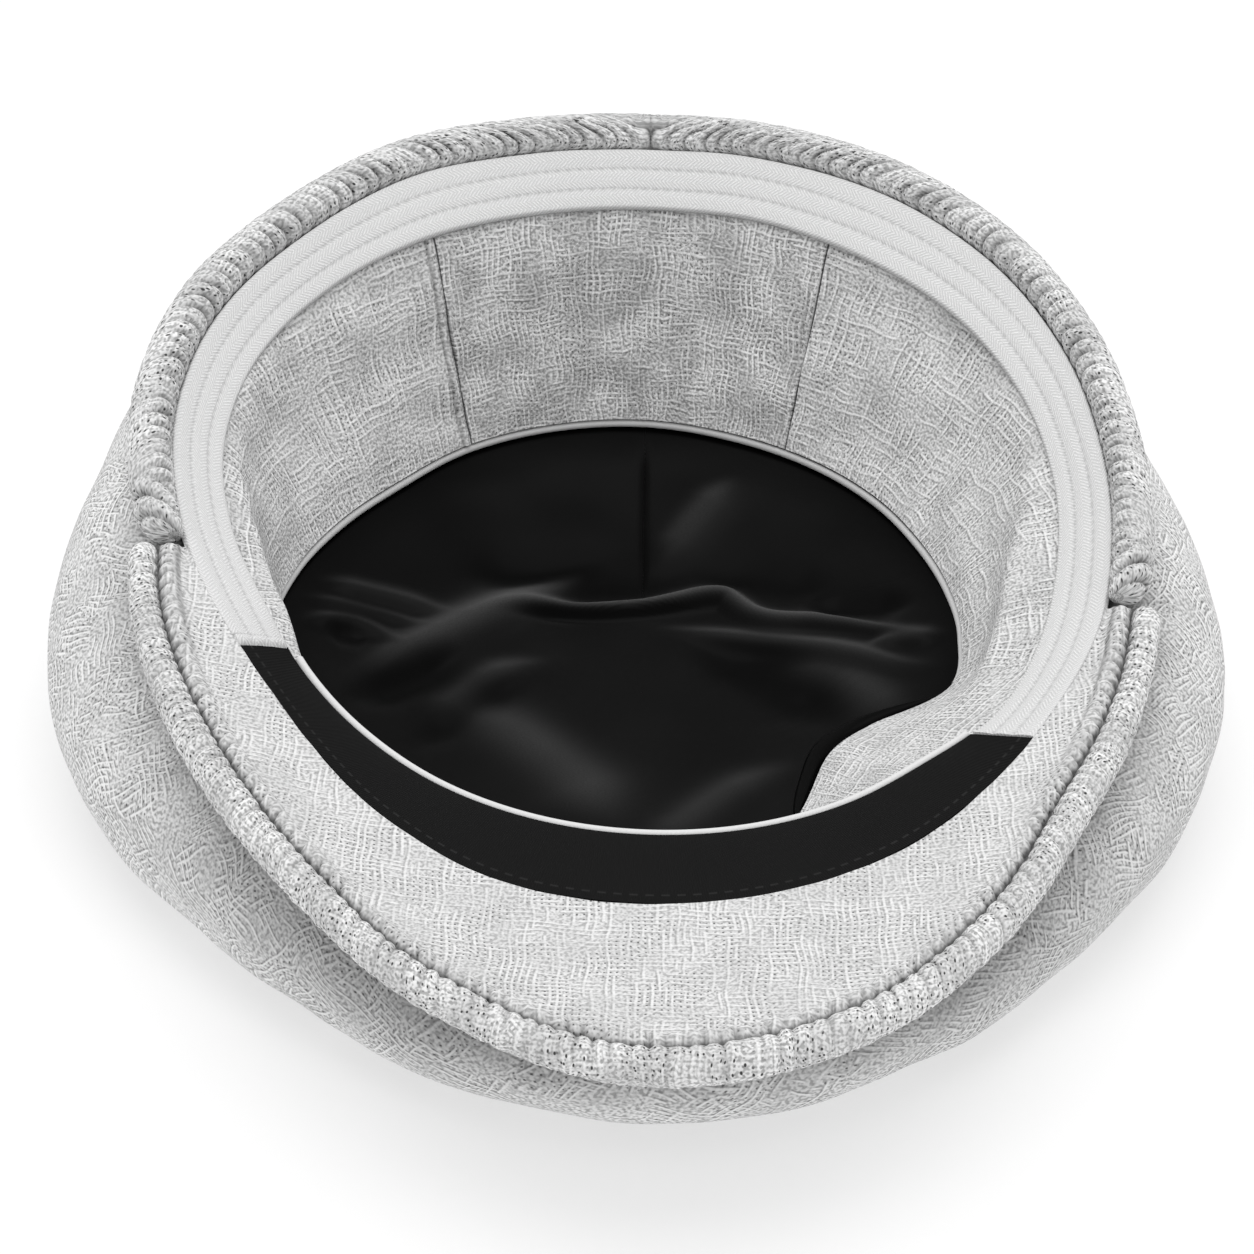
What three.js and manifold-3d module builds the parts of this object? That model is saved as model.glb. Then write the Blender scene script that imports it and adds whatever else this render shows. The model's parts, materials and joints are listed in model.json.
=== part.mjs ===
// Flat cap with earflaps, turned over: it lies on its crown, open side up, with the earflaps and the neck
// flap folded down inside it. Millimetres, +Z up, the floor at z = 0 and the peak towards -Y.
// Azimuths are in degrees, anticlockwise seen from above: 0 right, 90 back, 180 left, 270 front.
import * as THREE from "three";
import { mergeVertices } from "three/addons/utils/BufferGeometryUtils.js";
import Module from "manifold-3d";

// ---------------------------------------------------------------- driving dimensions

const GAP = 0.3;                 // kept between two pieces that lie on each other

// Height of the rim, over the left-right axis, as a function of how far back a point lies.
const RIM = { side: 50, tilt: 22.75, dish: 7.25, reach: 101, lean: 0.035 };

const TAPE = { thickness: 1.2, drop: 7, rib: 0.3, right: -35.5, left: 206.5, endGap: 0.2 };
const BAND = { thickness: 1.2, pipingRadius: 0.65 };
const ROLL = { radius: 4.1, rise: 2.4, pitch: 4.6, depth: 0.11, slant: 0.75, knot: 4.5, seamHalf: 0.12 };
const PEAK = { right: -11, left: 188, rollRadius: 3.6, thickness: 3.4, lift: 2.5, roundOff: 2.5 };
const RIDGE = { width: 4.5, height: 2.4, groove: 1.3, flat: 0.8, dip: 0.6 };
const CROWN = { thickness: 2.5, bulgeMid: 24, bulgeSwing: 5, fullAbove: 1.75, fullBelow: 2.4, seamHeight: 5 };
const FLAP = { thickness: 2, tuck: 3, right: -66, left: 206 };
const FLAP_SEAM = { right: 65.5, left: 119.5, half: 0.12 };
const BINDING = { radius: 0.85, right: -13, left: 204 };
const FACING = { thickness: 0.8, proud: 4, tucked: 0.7, right: -58, left: -18 };
const LINING = { thickness: 1, floor: 6, dishPower: 2.2, seamBack: 27 };
const LINING_WALL = { inset: 17, top: 9, rimInset: 1.2 };

// Where the crown's edge passes from under the peak to under the roll, and the lining's from behind the
// sweatband to behind the flaps, as sines of the azimuth. inset: how far outside the rim the crown starts
// under the peak. front, back: the lining's drop below the rim.
const CROWN_EDGE = { inset: 2, widensFrom: -0.35, risesFrom: -0.13 };
const LINING_EDGE = { dropsFrom: -0.6, dropsTo: -0.4, front: 2.2, back: 4.6 };

const COLOURS = { tweed: 0xdcdcdc, tape: 0xd8d8d8, ribbedBlack: 0x17171a, piping: 0xf0f0f0, satin: 0x0a0a0b };

// Sections every 15 degrees. rim: radius of the crease between the tape and the roll or peak. inner: radius
// of the free edge of the tape or sweatband. bulge: widest radius of the crown. foot: radius where it leaves
// the floor. bowl, bowlZ: radius and height of the edge of the lining's floor.
const SHELL = named(["azimuth", "rim", "inner", "bulge", "foot", "bowl", "bowlZ"], [
  [0, 94.7, 83.8, 119, 98, 66, 19.2],
  [15, 97.7, 87.8, 117, 97, 66.5, 20.2],
  [30, 102, 91.7, 114.5, 96, 68, 20.2],
  [45, 105.1, 94.1, 114.5, 95, 71, 20.2],
  [60, 105.2, 94.2, 115, 94, 74, 20.2],
  [75, 103.2, 93.6, 115.5, 93, 77, 20.2],
  [90, 101, 92.3, 116, 93, 79.5, 20.2],
  [105, 101.8, 92.7, 116, 93, 79.5, 20.2],
  [120, 104.4, 94.4, 116, 94, 78.3, 20.2],
  [135, 104, 95.1, 116.5, 95, 75.3, 20.2],
  [150, 103.6, 94.2, 118.5, 97, 75, 20.2],
  [165, 99.8, 89.8, 120.5, 98, 75.5, 20.2],
  [180, 94.2, 83.1, 121.5, 99, 75.6, 20.2],
  [195, 89.3, 77.2, 121, 99, 73, 19.5],
  [210, 86.6, 75.7, 119.5, 99, 72, 17],
  [225, 88.7, 75.3, 118.5, 99, 72, 14],
  [240, 94.3, 75.7, 122, 99, 76, 14],
  [255, 99.9, 75.9, 129, 100, 80, 14],
  [270, 101, 76, 134, 101, 82, 14],
  [285, 100, 76.2, 132, 100, 80, 14],
  [300, 97.2, 76.5, 126, 99, 76, 15],
  [315, 93.7, 76.9, 121, 98, 72, 16],
  [330, 92, 80, 119.5, 98, 70, 15.5],
  [345, 93.2, 81.5, 119.5, 98, 68, 16.5],
]);

// Outer edge of the peak.
const PEAK_EDGE = named(["azimuth", "edge"], [
  [180, 102], [195, 104.2], [210, 107.6], [225, 113.5], [240, 123.5], [255, 138.5],
  [270, 149.8], [285, 144.4], [300, 129.8], [315, 115.8], [330, 109], [345, 105.3], [360, 104],
]);

// The flaps, from the right ear round the back to the left ear. foldIn, foldDrop: how far the turned-over
// strip beside the tape reaches in and down. edge, edgeZ: radius and height of the free edge on the lining.
const FLAPS = named(["azimuth", "foldIn", "foldDrop", "edge", "edgeZ"], [
  [-75, 5, 4, 79, 18],
  [-60, 7, 5, 63, 18],
  [-45, 9, 6, 52.6, 18],
  [-30, 10, 6, 53.5, 18],
  [-15, 10, 5, 64.8, 20.5],
  [0, 10, 4, 65.8, 22],
  [15, 6, 3.5, 66.3, 22],
  [30, 1.5, 3.5, 67.8, 22],
  [45, 0.5, 4, 70.8, 22],
  [60, 0.5, 4, 73.9, 22],
  [75, 0.5, 4, 76.8, 22],
  [90, 0.5, 4, 79.4, 22],
  [105, 0.5, 4, 79.6, 22],
  [120, 0.5, 4, 78.3, 22],
  [135, 0.5, 4, 75.3, 22],
  [150, 0.8, 4, 75, 22],
  [165, 3.5, 3.5, 75.5, 22],
  [180, 6, 3, 75.6, 22],
  [195, 5, 3, 73, 22],
  [210, 2, 3, 70.5, 22],
]);

// Ridges of the slack satin, each from one point of the plan to another.
const SATIN_FOLDS = named(["x", "y", "toX", "toY", "width", "height"], [
  [-36, 24, -2, 28.5, 3, 2.2],
  [-2, 28.5, 17, 34, 2.6, 2.4],
  [17, 34, 26, 25, 2.6, 2.2],
  [26, 25, 60, 18, 3, 2.6],
  [-6, 48, -42, 27, 5, 3],
  [-42, 27, -66, 2, 6, 2.6],
  [-36, -14, -8, -50, 8, 2.6],
  [12, 22, 58, 6, 5, 2.2],
]);

// ---------------------------------------------------------------- small helpers

function named(columns, rows) {
  return rows.map((row) => Object.fromEntries(columns.map((name, i) => [name, row[i]])));
}

// A smooth curve through one column of a table whose rows are evenly spaced in azimuth.
function curveOf(rows, name) {
  const step = rows[1].azimuth - rows[0].azimuth;
  const wraps = rows.length * step === 360;
  const last = rows.length - 1;
  const pick = (i) => {
    const k = wraps ? THREE.MathUtils.euclideanModulo(i, rows.length) : THREE.MathUtils.clamp(i, 0, last);
    return rows[k][name];
  };
  return (azimuth) => {
    const place = (azimuth - rows[0].azimuth) / step;
    const row = Math.floor(place);
    const t = place - row;
    const [a, b, c, d] = [pick(row - 1), pick(row), pick(row + 1), pick(row + 2)];
    return b + 0.5 * t * (c - a + t * (2 * a - 5 * b + 4 * c - d + t * (3 * (b - c) + d - a)));
  };
}

const rimRadius = curveOf(SHELL, "rim");
const innerRadius = curveOf(SHELL, "inner");
const bulgeRadius = curveOf(SHELL, "bulge");
const footRadius = curveOf(SHELL, "foot");
const bowlRadius = curveOf(SHELL, "bowl");
const bowlHeight = curveOf(SHELL, "bowlZ");
const peakEdge = curveOf(PEAK_EDGE, "edge");
const foldIn = curveOf(FLAPS, "foldIn");
const foldDrop = curveOf(FLAPS, "foldDrop");
const flapEdge = curveOf(FLAPS, "edge");
const flapEdgeHeight = curveOf(FLAPS, "edgeZ");

const { smoothstep, degToRad, lerp } = THREE.MathUtils;
const sine = (azimuth) => Math.sin(degToRad(azimuth));
const cosine = (azimuth) => Math.cos(degToRad(azimuth));
const polar = (azimuth, r, z) => new THREE.Vector3(r * cosine(azimuth), r * sine(azimuth), z);

function rimHeight(azimuth, radius) {
  const back = (radius * sine(azimuth)) / RIM.reach;
  return RIM.side + RIM.tilt * back + RIM.dish * back * back - RIM.lean * radius * cosine(azimuth);
}

// Evenly spaced azimuths from one end to the other, both ends included.
function steps(from, to, count) {
  return Array.from({ length: count + 1 }, (_, i) => lerp(from, to, i / count));
}

// A point of a section: radius and height. Moved along the line it lies on, and off it to its lower right.
const rz = (r, z) => new THREE.Vector2(r, z);
function beside(start, end, along, off) {
  const t = end.clone().sub(start).normalize();
  return rz(start.x + t.x * along + t.y * off, start.y + t.y * along - t.x * off);
}

// A path and its copy moved sideways by the thickness, as one closed loop.
function thicken(path, thickness) {
  const moved = path.map((p, i) => {
    const t = path[Math.min(i + 1, path.length - 1)].clone().sub(path[Math.max(i - 1, 0)]).normalize();
    return rz(p.x - t.y * thickness, p.y + t.x * thickness);
  });
  return [...path, ...moved.reverse()];
}

// A closed body through loops of equally many points. A ring joins the last loop to the first, and otherwise
// both ends are closed flat. The second half of a loop is split along mirrored diagonals, so that the two sides
// of a wall are folded alike. Faces are turned outward by the sign of the volume.
function body(loops, ring = false) {
  const points = loops[0].length;
  const index = [];
  const quad = (a, b, c, d) => index.push(a, b, c, a, c, d);
  for (let i = 0; i < loops.length - (ring ? 0 : 1); i++) {
    const here = i * points;
    const next = ((i + 1) % loops.length) * points;
    for (let j = 0; j < points; j++) {
      const k = (j + 1) % points;
      if (2 * j < points) {
        quad(here + j, here + k, next + k, next + j);
      } else {
        quad(here + k, next + k, next + j, here + j);
      }
    }
  }
  if (!ring) {
    const tail = (loops.length - 1) * points;
    for (let j = 0; j < Math.ceil(points / 2) - 1; j++) {
      const [a, b, c, d] = [j, j + 1, points - 2 - j, points - 1 - j];
      const triangles = b === c ? [[a, b, d]] : [[a, b, c], [a, c, d]];
      for (const [p, q, s] of triangles) {
        index.push(s, q, p, tail + p, tail + q, tail + s);
      }
    }
  }
  const vertices = loops.flat();
  let volume = 0;
  for (let i = 0; i < index.length; i += 3) {
    const [a, b, c] = index.slice(i, i + 3).map((k) => vertices[k]);
    volume += a.dot(b.clone().cross(c));
  }
  const geometry = new THREE.BufferGeometry();
  const positions = vertices.flatMap((v) => v.toArray());
  geometry.setAttribute("position", new THREE.Float32BufferAttribute(positions, 3));
  geometry.setIndex(volume > 0 ? index : index.reverse());
  return geometry;
}

// A body swept round the cap: one closed section at each azimuth.
function sweep(azimuths, sectionAt, ring = false) {
  return body(azimuths.map((azimuth) => sectionAt(azimuth).map((p) => polar(azimuth, p.x, p.y))), ring);
}

function circle(centre, radius, sides) {
  return Array.from({ length: sides }, (_, i) => {
    const angle = (2 * Math.PI * i) / sides;
    return rz(centre.x + radius * Math.cos(angle), centre.y + radius * Math.sin(angle));
  });
}

const cap = new THREE.Group();

function addPiece(name, geometry, colour, roughness) {
  geometry.computeVertexNormals();
  const material = new THREE.MeshStandardMaterial({ color: colour, roughness, metalness: 0 });
  const mesh = new THREE.Mesh(geometry, material);
  mesh.name = name;
  cap.add(mesh);
}

// ---------------------------------------------------------------- crown

// Outer profile of the crown from under the rim, over the bulge, to the floor. stage runs 0..1 from the rim
// to the bulge and 1..2 from the bulge to the floor.
function crownPoint(azimuth, stage) {
  const rim = rimRadius(azimuth);
  const widened = smoothstep(sine(azimuth), CROWN_EDGE.widensFrom, 0);
  const raised = smoothstep(sine(azimuth), CROWN_EDGE.risesFrom, 0);
  const topRadius = rim + lerp(CROWN_EDGE.inset, GAP + ROLL.radius, widened);
  const underPeak = Math.max(PEAK.thickness, PEAK.rollRadius) + GAP;
  const underRoll = ROLL.radius - ROLL.rise + GAP;
  const top = rimHeight(azimuth, rim) - lerp(underPeak, underRoll, raised);
  const middle = CROWN.bulgeMid + CROWN.bulgeSwing * sine(azimuth);
  const bulge = bulgeRadius(azimuth);
  const power = 2 / (stage < 1 ? CROWN.fullAbove : CROWN.fullBelow);
  const angle = (stage < 1 ? stage : stage - 1) * Math.PI / 2;
  const across = Math.sin(angle) ** power;
  const along = Math.cos(angle) ** power;
  if (stage < 1) {
    return rz(lerp(topRadius, bulge, across), lerp(middle, top, along));
  }
  return rz(lerp(footRadius(azimuth), bulge, along), middle * (1 - across));
}

// The stage at which the lower half of the profile comes down to a height.
function stageAtHeight(azimuth, height) {
  const middle = CROWN.bulgeMid + CROWN.bulgeSwing * sine(azimuth);
  return 1 + Math.asin((1 - height / middle) ** (CROWN.fullBelow / 2)) / (Math.PI / 2);
}

const crownAzimuths = steps(0, 352.5, 47);

function crownSide(azimuth) {
  const seam = stageAtHeight(azimuth, CROWN.seamHeight);
  const stages = [0, 0.12, 0.3, 0.5, 0.75, 0.999, lerp(1, seam, 0.4), lerp(1, seam, 0.75), seam];
  return thicken(stages.map((stage) => crownPoint(azimuth, stage)), -CROWN.thickness);
}

// The top panel is a shallow dish whose flat bottom rests on the floor.
function crownTop() {
  const walls = crownAzimuths.map((azimuth) => {
    const seam = stageAtHeight(azimuth, CROWN.seamHeight - GAP * 1.5);
    const stages = [seam, seam + 0.06, lerp(seam, 1.999, 0.55), 1.999];
    return thicken(stages.map((stage) => crownPoint(azimuth, stage)), -CROWN.thickness);
  });
  const disc = (share, z) => crownAzimuths.map((azimuth) => polar(azimuth, footRadius(azimuth) * share, z));
  const ring = (k) => crownAzimuths.map((azimuth, i) => polar(azimuth, walls[i][k].x, walls[i][k].y));
  const upper = [disc(0.5, CROWN.thickness), disc(0.92, CROWN.thickness), ring(5), ring(6), ring(7)];
  return body([...upper, ring(0), ring(1), ring(2), disc(1, 0)]);
}

addPiece("crown_side", sweep(crownAzimuths, crownSide, true), COLOURS.tweed, 0.9);
addPiece("crown_top", crownTop(), COLOURS.tweed, 0.9);

// ---------------------------------------------------------------- padded roll round the back of the rim

// Half of the roll, from the back seam to the knot beside the peak. Its rings lean where the gathers are
// slanted.
function rollHalf(from, to) {
  const length = degToRad(Math.abs(to - from)) * rimRadius(90) * 1.03;
  const count = 2 * Math.round(length / ROLL.pitch);
  const sides = 7;
  const turn = Math.sign(to - from);
  return body(steps(from, to, count).map((azimuth, i) => {
    const done = i / count;
    const toEnd = (1 - done) * length;
    const rim = rimRadius(azimuth);
    const groove = i % 2 ? 0 : ROLL.depth;
    const end = toEnd < ROLL.knot ? Math.sqrt(1 - (1 - toEnd / ROLL.knot) ** 2 * 0.75) : 1;
    const radius = ROLL.radius * (1 - groove) * end;
    const slant = ROLL.slant * smoothstep(done, 0, 0.04) * (1 - smoothstep(done, 0.1, 0.6));
    const centre = rz(rim + GAP + ROLL.radius, rimHeight(azimuth, rim) + ROLL.rise);
    return circle(centre, radius, sides).map((p) => {
      const lean = turn * slant * (p.x - centre.x);
      return polar(azimuth + THREE.MathUtils.radToDeg(lean / rim), p.x, p.y);
    });
  }));
}

const knotGap = 0.4;
addPiece("rim_roll_right", rollHalf(90 - ROLL.seamHalf, PEAK.right + knotGap), COLOURS.tweed, 0.9);
addPiece("rim_roll_left", rollHalf(90 + ROLL.seamHalf, PEAK.left - knotGap), COLOURS.tweed, 0.9);

// ---------------------------------------------------------------- peak

// Section of the peak: flat cloth, a raised ridge, the stitched groove and the rolled edge.
function peakSection(azimuth) {
  const rim = rimRadius(azimuth);
  const rimZ = rimHeight(azimuth, rim);
  const sweepShare = (azimuth - PEAK.left) / (PEAK.right + 360 - PEAK.left);
  const edgeZ = rimZ + PEAK.lift * Math.sin(Math.PI * sweepShare);
  const r = PEAK.rollRadius;
  const centre = rz(peakEdge(azimuth) - r, edgeZ);
  const root = rim + GAP;
  const groove = centre.x - 0.86 * r;
  const ridge = Math.min(RIDGE.width, 0.6 * (groove - root));
  const flat = groove - ridge;
  const round = (angle) => rz(centre.x + r * cosine(angle), centre.y + r * sine(angle));
  const roll = [65, 25, -15, -55, -95].map(round);
  const loop = [
    rz(root, rimZ),
    rz(lerp(root, flat, 0.5), lerp(rimZ, edgeZ + RIDGE.flat, 0.5) - RIDGE.dip),
    rz(flat, edgeZ + RIDGE.flat),
    rz(groove - ridge / 2, edgeZ + RIDGE.height),
    rz(groove, edgeZ + RIDGE.groove),
    rz(centre.x - 0.35 * r, edgeZ + 0.9 * r),
    ...roll,
    rz(lerp(root, centre.x, 0.5), lerp(rimZ, edgeZ, 0.5) - PEAK.thickness),
    rz(root, rimZ - PEAK.thickness),
  ];
  const fromEnd = Math.min(azimuth - PEAK.left, PEAK.right + 360 - azimuth);
  const rounding = Math.sqrt(1 - Math.max(0, 1 - fromEnd / PEAK.roundOff) ** 2 * 0.8);
  const middle = rz(lerp(root, centre.x, 0.5), rimZ);
  return loop.map((p) => p.sub(middle).multiplyScalar(rounding).add(middle));
}

const peakAzimuths = [
  ...steps(PEAK.left, PEAK.left + PEAK.roundOff, 2),
  ...steps(PEAK.left + 5, PEAK.right + 355, 35),
  ...steps(PEAK.right + 360 - PEAK.roundOff, PEAK.right + 360, 2),
];
addPiece("peak", sweep(peakAzimuths, peakSection), COLOURS.tweed, 0.9);

// ---------------------------------------------------------------- tape, sweatband and piping

const outerEdge = (azimuth) => {
  const rim = rimRadius(azimuth);
  return rz(rim - GAP, rimHeight(azimuth, rim));
};
const innerEdge = (azimuth) => {
  const inner = innerRadius(azimuth);
  return rz(inner, rimHeight(azimuth, inner) - TAPE.drop);
};

// The tape has three flat ribs between rows of stitching.
function tapeSection(azimuth) {
  const inner = innerEdge(azimuth);
  const outer = outerEdge(azimuth);
  const width = inner.distanceTo(outer);
  const top = [0, 0.17, 0.34, 0.5, 0.66, 0.83, 1].map((share, i) => {
    const proud = i % 2 ? TAPE.rib : 0;
    return beside(inner, outer, share * width, -proud);
  });
  return [...top, beside(inner, outer, width, TAPE.thickness), beside(inner, outer, 0, TAPE.thickness)];
}

function bandSection(azimuth) {
  const inner = innerEdge(azimuth);
  const outer = outerEdge(azimuth);
  const path = [0, 0.5, 1].map((share) => beside(inner, outer, share * inner.distanceTo(outer), 0));
  return thicken(path, -BAND.thickness);
}

const pipingSection = (azimuth) => {
  const inner = innerEdge(azimuth);
  const centre = rz(inner.x - GAP - BAND.pipingRadius, inner.y - BAND.thickness / 2);
  return circle(centre, BAND.pipingRadius, 6);
};

const bandLeft = TAPE.left + TAPE.endGap;
const bandRight = TAPE.right + 360 - TAPE.endGap;
addPiece("rim_tape", sweep(steps(TAPE.right, TAPE.left, 46), tapeSection), COLOURS.tape, 0.85);
addPiece("sweatband_front", sweep(steps(bandLeft, bandRight, 20), bandSection), COLOURS.ribbedBlack, 0.75);
addPiece("sweatband_piping", sweep(steps(bandLeft, bandRight, 22), pipingSection), COLOURS.piping, 0.6);

// ---------------------------------------------------------------- flaps folded inside

// Visible face of a flap: tucked under the tape, out over the turned strip, then down to its free edge.
function flapFace(azimuth) {
  const inner = innerEdge(azimuth);
  const outer = outerEdge(azimuth);
  const under = TAPE.thickness + GAP;
  const fold = rz(inner.x - foldIn(azimuth), inner.y - foldDrop(azimuth));
  const edge = rz(flapEdge(azimuth), flapEdgeHeight(azimuth) + BINDING.radius + GAP);
  const middle = fold.clone().lerp(edge, 0.5);
  return [
    edge,
    rz(middle.x + 0.6, middle.y),
    fold,
    beside(inner, outer, 0, under),
    beside(inner, outer, FLAP.tuck, under),
  ];
}

const flapSection = (azimuth) => thicken(flapFace(azimuth), -FLAP.thickness);

const flapSpans = [
  { name: "ear_flap_right", from: FLAP.right, to: FLAP_SEAM.right - FLAP_SEAM.half, count: 22 },
  { name: "neck_flap", from: FLAP_SEAM.right + FLAP_SEAM.half, to: FLAP_SEAM.left - FLAP_SEAM.half, count: 8 },
  { name: "ear_flap_left", from: FLAP_SEAM.left + FLAP_SEAM.half, to: FLAP.left, count: 13 },
];
for (const span of flapSpans) {
  addPiece(span.name, sweep(steps(span.from, span.to, span.count), flapSection), COLOURS.tweed, 0.9);
}

// The binding is a cord along the free edge.
function bindingSection(azimuth) {
  const [edge, middle] = flapFace(azimuth);
  return circle(beside(edge, middle, -GAP - BINDING.radius, FLAP.thickness / 2), BINDING.radius, 6);
}
addPiece("flap_binding", sweep(steps(BINDING.right, BINDING.left, 36), bindingSection), COLOURS.tape, 0.85);

// Satin facing under the rounded end of the right ear flap, standing out past its edge.
function facingSection(azimuth) {
  const [edge, middle] = flapFace(azimuth);
  const under = FLAP.thickness + GAP * 2;
  const tucked = FACING.tucked * edge.distanceTo(middle);
  const path = [beside(edge, middle, -FACING.proud, under), beside(edge, middle, tucked, under)];
  return thicken(path, -FACING.thickness);
}
addPiece("ear_flap_facing", sweep(steps(FACING.right, FACING.left, 10), facingSection), COLOURS.satin, 0.4);

// ---------------------------------------------------------------- lining

function foldHeight(x, y) {
  let height = 0;
  for (const fold of SATIN_FOLDS) {
    const start = new THREE.Vector3(fold.x, fold.y, 0);
    const line = new THREE.Line3(start, new THREE.Vector3(fold.toX, fold.toY, 0));
    const away = line.closestPointToPoint(new THREE.Vector3(x, y, 0), true, new THREE.Vector3());
    const distance = Math.hypot(x - away.x, y - away.y) / fold.width;
    height = Math.max(height, fold.height * Math.exp(-distance * distance));
  }
  return height;
}

// The lining is a satin bag: it hangs from the rim, runs down inside the crown and lies slack on its floor.
function liningPath(azimuth) {
  const rim = rimRadius(azimuth);
  const rimZ = rimHeight(azimuth, rim);
  const behind = smoothstep(sine(azimuth), LINING_EDGE.dropsFrom, LINING_EDGE.dropsTo);
  const topZ = rimZ - lerp(LINING_EDGE.front, LINING_EDGE.back, behind);
  const wallRadius = bulgeRadius(azimuth) - LINING_WALL.inset;
  const wallZ = CROWN.bulgeMid + CROWN.bulgeSwing * sine(azimuth) + 1;
  const floor = [0.1, 0.23, 0.36, 0.52, 0.68, 0.84, 1].map((share) => {
    const radius = share * bowlRadius(azimuth);
    const rise = (bowlHeight(azimuth) - LINING.floor) * share ** LINING.dishPower;
    const fade = 1 - smoothstep(share, 0.8, 1);
    const folds = fade * foldHeight(radius * cosine(azimuth), radius * sine(azimuth));
    return rz(radius, LINING.floor + rise + folds);
  });
  const top = rim - LINING_WALL.rimInset;
  return [...floor, rz(wallRadius, wallZ), rz(top, rimZ - LINING_WALL.top), rz(top, topZ)];
}

function liningBag() {
  const azimuths = steps(0, 351, 39);
  const sections = azimuths.map((azimuth) => thicken(liningPath(azimuth), -LINING.thickness));
  const ring = (k) => azimuths.map((azimuth, i) => polar(azimuth, sections[i][k].x, sections[i][k].y));
  return body(sections[0].map((_, k) => ring(k)));
}

const wasm = await Module();
wasm.setup();

function toManifold(geometry) {
  const bare = geometry.clone();
  bare.deleteAttribute("normal");
  bare.deleteAttribute("uv");
  const merged = mergeVertices(bare, 1e-4);
  return new wasm.Manifold(new wasm.Mesh({
    numProp: 3,
    vertProperties: new Float32Array(merged.attributes.position.array),
    triVerts: new Uint32Array(merged.index.array),
  }));
}

function fromManifold(solid) {
  const mesh = solid.getMesh();
  const geometry = new THREE.BufferGeometry();
  geometry.setAttribute("position", new THREE.Float32BufferAttribute(mesh.vertProperties, 3));
  geometry.setIndex(new THREE.BufferAttribute(new Uint32Array(mesh.triVerts), 1));
  return geometry;
}

// A tall block over the plan from one corner to the other, which takes one panel out of the bag.
function panelBlock(x0, y0, x1, y1) {
  const block = new THREE.BoxGeometry(x1 - x0, y1 - y0, 200);
  return toManifold(block.translate((x0 + x1) / 2, (y0 + y1) / 2, 0));
}

const bag = toManifold(liningBag());
const reach = 200;
const half = GAP / 2;
const seamY = LINING.seamBack;
const panels = {
  lining_front: panelBlock(-reach, -reach, reach, seamY - half),
  lining_back_left: panelBlock(-reach, seamY + half, -half, reach),
  lining_back_right: panelBlock(half, seamY + half, reach, reach),
};
for (const [name, block] of Object.entries(panels)) {
  addPiece(name, fromManifold(bag.intersect(block)), COLOURS.satin, 0.4);
}

// The origin lies on the floor under the middle of the cap's bounding box.
const box = new THREE.Box3().setFromObject(cap, true);
const centre = box.getCenter(new THREE.Vector3());
cap.position.set(-centre.x, -centre.y, -box.min.z);

export default cap;
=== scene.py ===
"""Looks of the flat cap with earflaps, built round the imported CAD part.

Lengths are in millimetres until a mesh is made. The axes are the part's own, moved to start at the crown_rest
mount. Azimuths are in degrees, anticlockwise seen from above: 0 right, 90 back, 270 front.
"""

import json
import math
from itertools import product

import bmesh
import bpy
import numpy as np
from mathutils import Matrix, Vector

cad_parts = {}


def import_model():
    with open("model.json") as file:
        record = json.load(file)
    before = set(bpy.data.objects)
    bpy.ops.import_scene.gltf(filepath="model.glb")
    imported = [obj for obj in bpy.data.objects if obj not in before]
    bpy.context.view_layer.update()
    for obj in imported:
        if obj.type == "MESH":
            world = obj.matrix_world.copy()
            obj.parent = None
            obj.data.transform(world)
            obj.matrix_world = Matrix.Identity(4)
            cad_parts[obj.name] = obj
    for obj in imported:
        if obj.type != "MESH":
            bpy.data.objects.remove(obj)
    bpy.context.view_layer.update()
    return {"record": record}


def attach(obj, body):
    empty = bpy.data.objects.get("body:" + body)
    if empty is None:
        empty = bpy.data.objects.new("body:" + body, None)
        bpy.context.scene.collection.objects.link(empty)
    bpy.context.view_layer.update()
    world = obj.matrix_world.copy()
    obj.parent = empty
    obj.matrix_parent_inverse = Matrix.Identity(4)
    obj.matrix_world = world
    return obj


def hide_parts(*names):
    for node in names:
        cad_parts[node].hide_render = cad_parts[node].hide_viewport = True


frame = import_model()
ORIGIN = np.array(frame["record"]["mounts"][0]["pos_m"])
MM = 0.001

# ---- sizes

# right and left are the azimuths where a piece ends. The rim is dished, tilts up to the back and leans to the
# right; tilt and dish are its heights at the reach.
GAP = 0.3
RIM = dict(side=50, tilt=22.75, dish=7.25, reach=101, lean=0.035)
TAPE = dict(thickness=1.2, drop=7, right=-35.5, left=206.5, ribs=3, skew=2.4)
BAND = dict(thickness=1.2, piping=0.65, skew=3.0)
ROLL = dict(radius=4.1, rise=2.4, pitch=3.7, slant=0.9, knot=4.5, fuller=0.2, left_fuller=0.5, sink=0.6)
PEAK = dict(right=-11, left=188, roll=3.6, end_roll=3.0, thickness=3.4, lift=2.5, end_reach=98)
CROWN = dict(thickness=2.5, middle=24, swing=5, above=1.75, below=2.4, seam=5, girth_radius=108)
FLAP = dict(thickness=2, tuck=3, right=-66, left=211, seam_right=65.5, seam_left=119.5)
BINDING = dict(radius=0.85, right=-13, left=204)
FACING = dict(thickness=0.8, proud=5.5, right=-63, left=-18)
LINING = dict(thickness=1, floor=6, power=2.2, seam=27, inset=17, top=9, rim_inset=1.2)
CAMERA = dict(place=(0, -573.4, 436.5), tilt=55, roll=1, lens=98.4, sensor=36, shift=(-0.01276, -0.0383))
BACK_STEP = 6  # the back of a wall has one point for every six of its skin


def table(columns, rows):
    data = np.array(rows, float)
    return {name: data[:, i] for i, name in enumerate(columns.split())}


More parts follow.
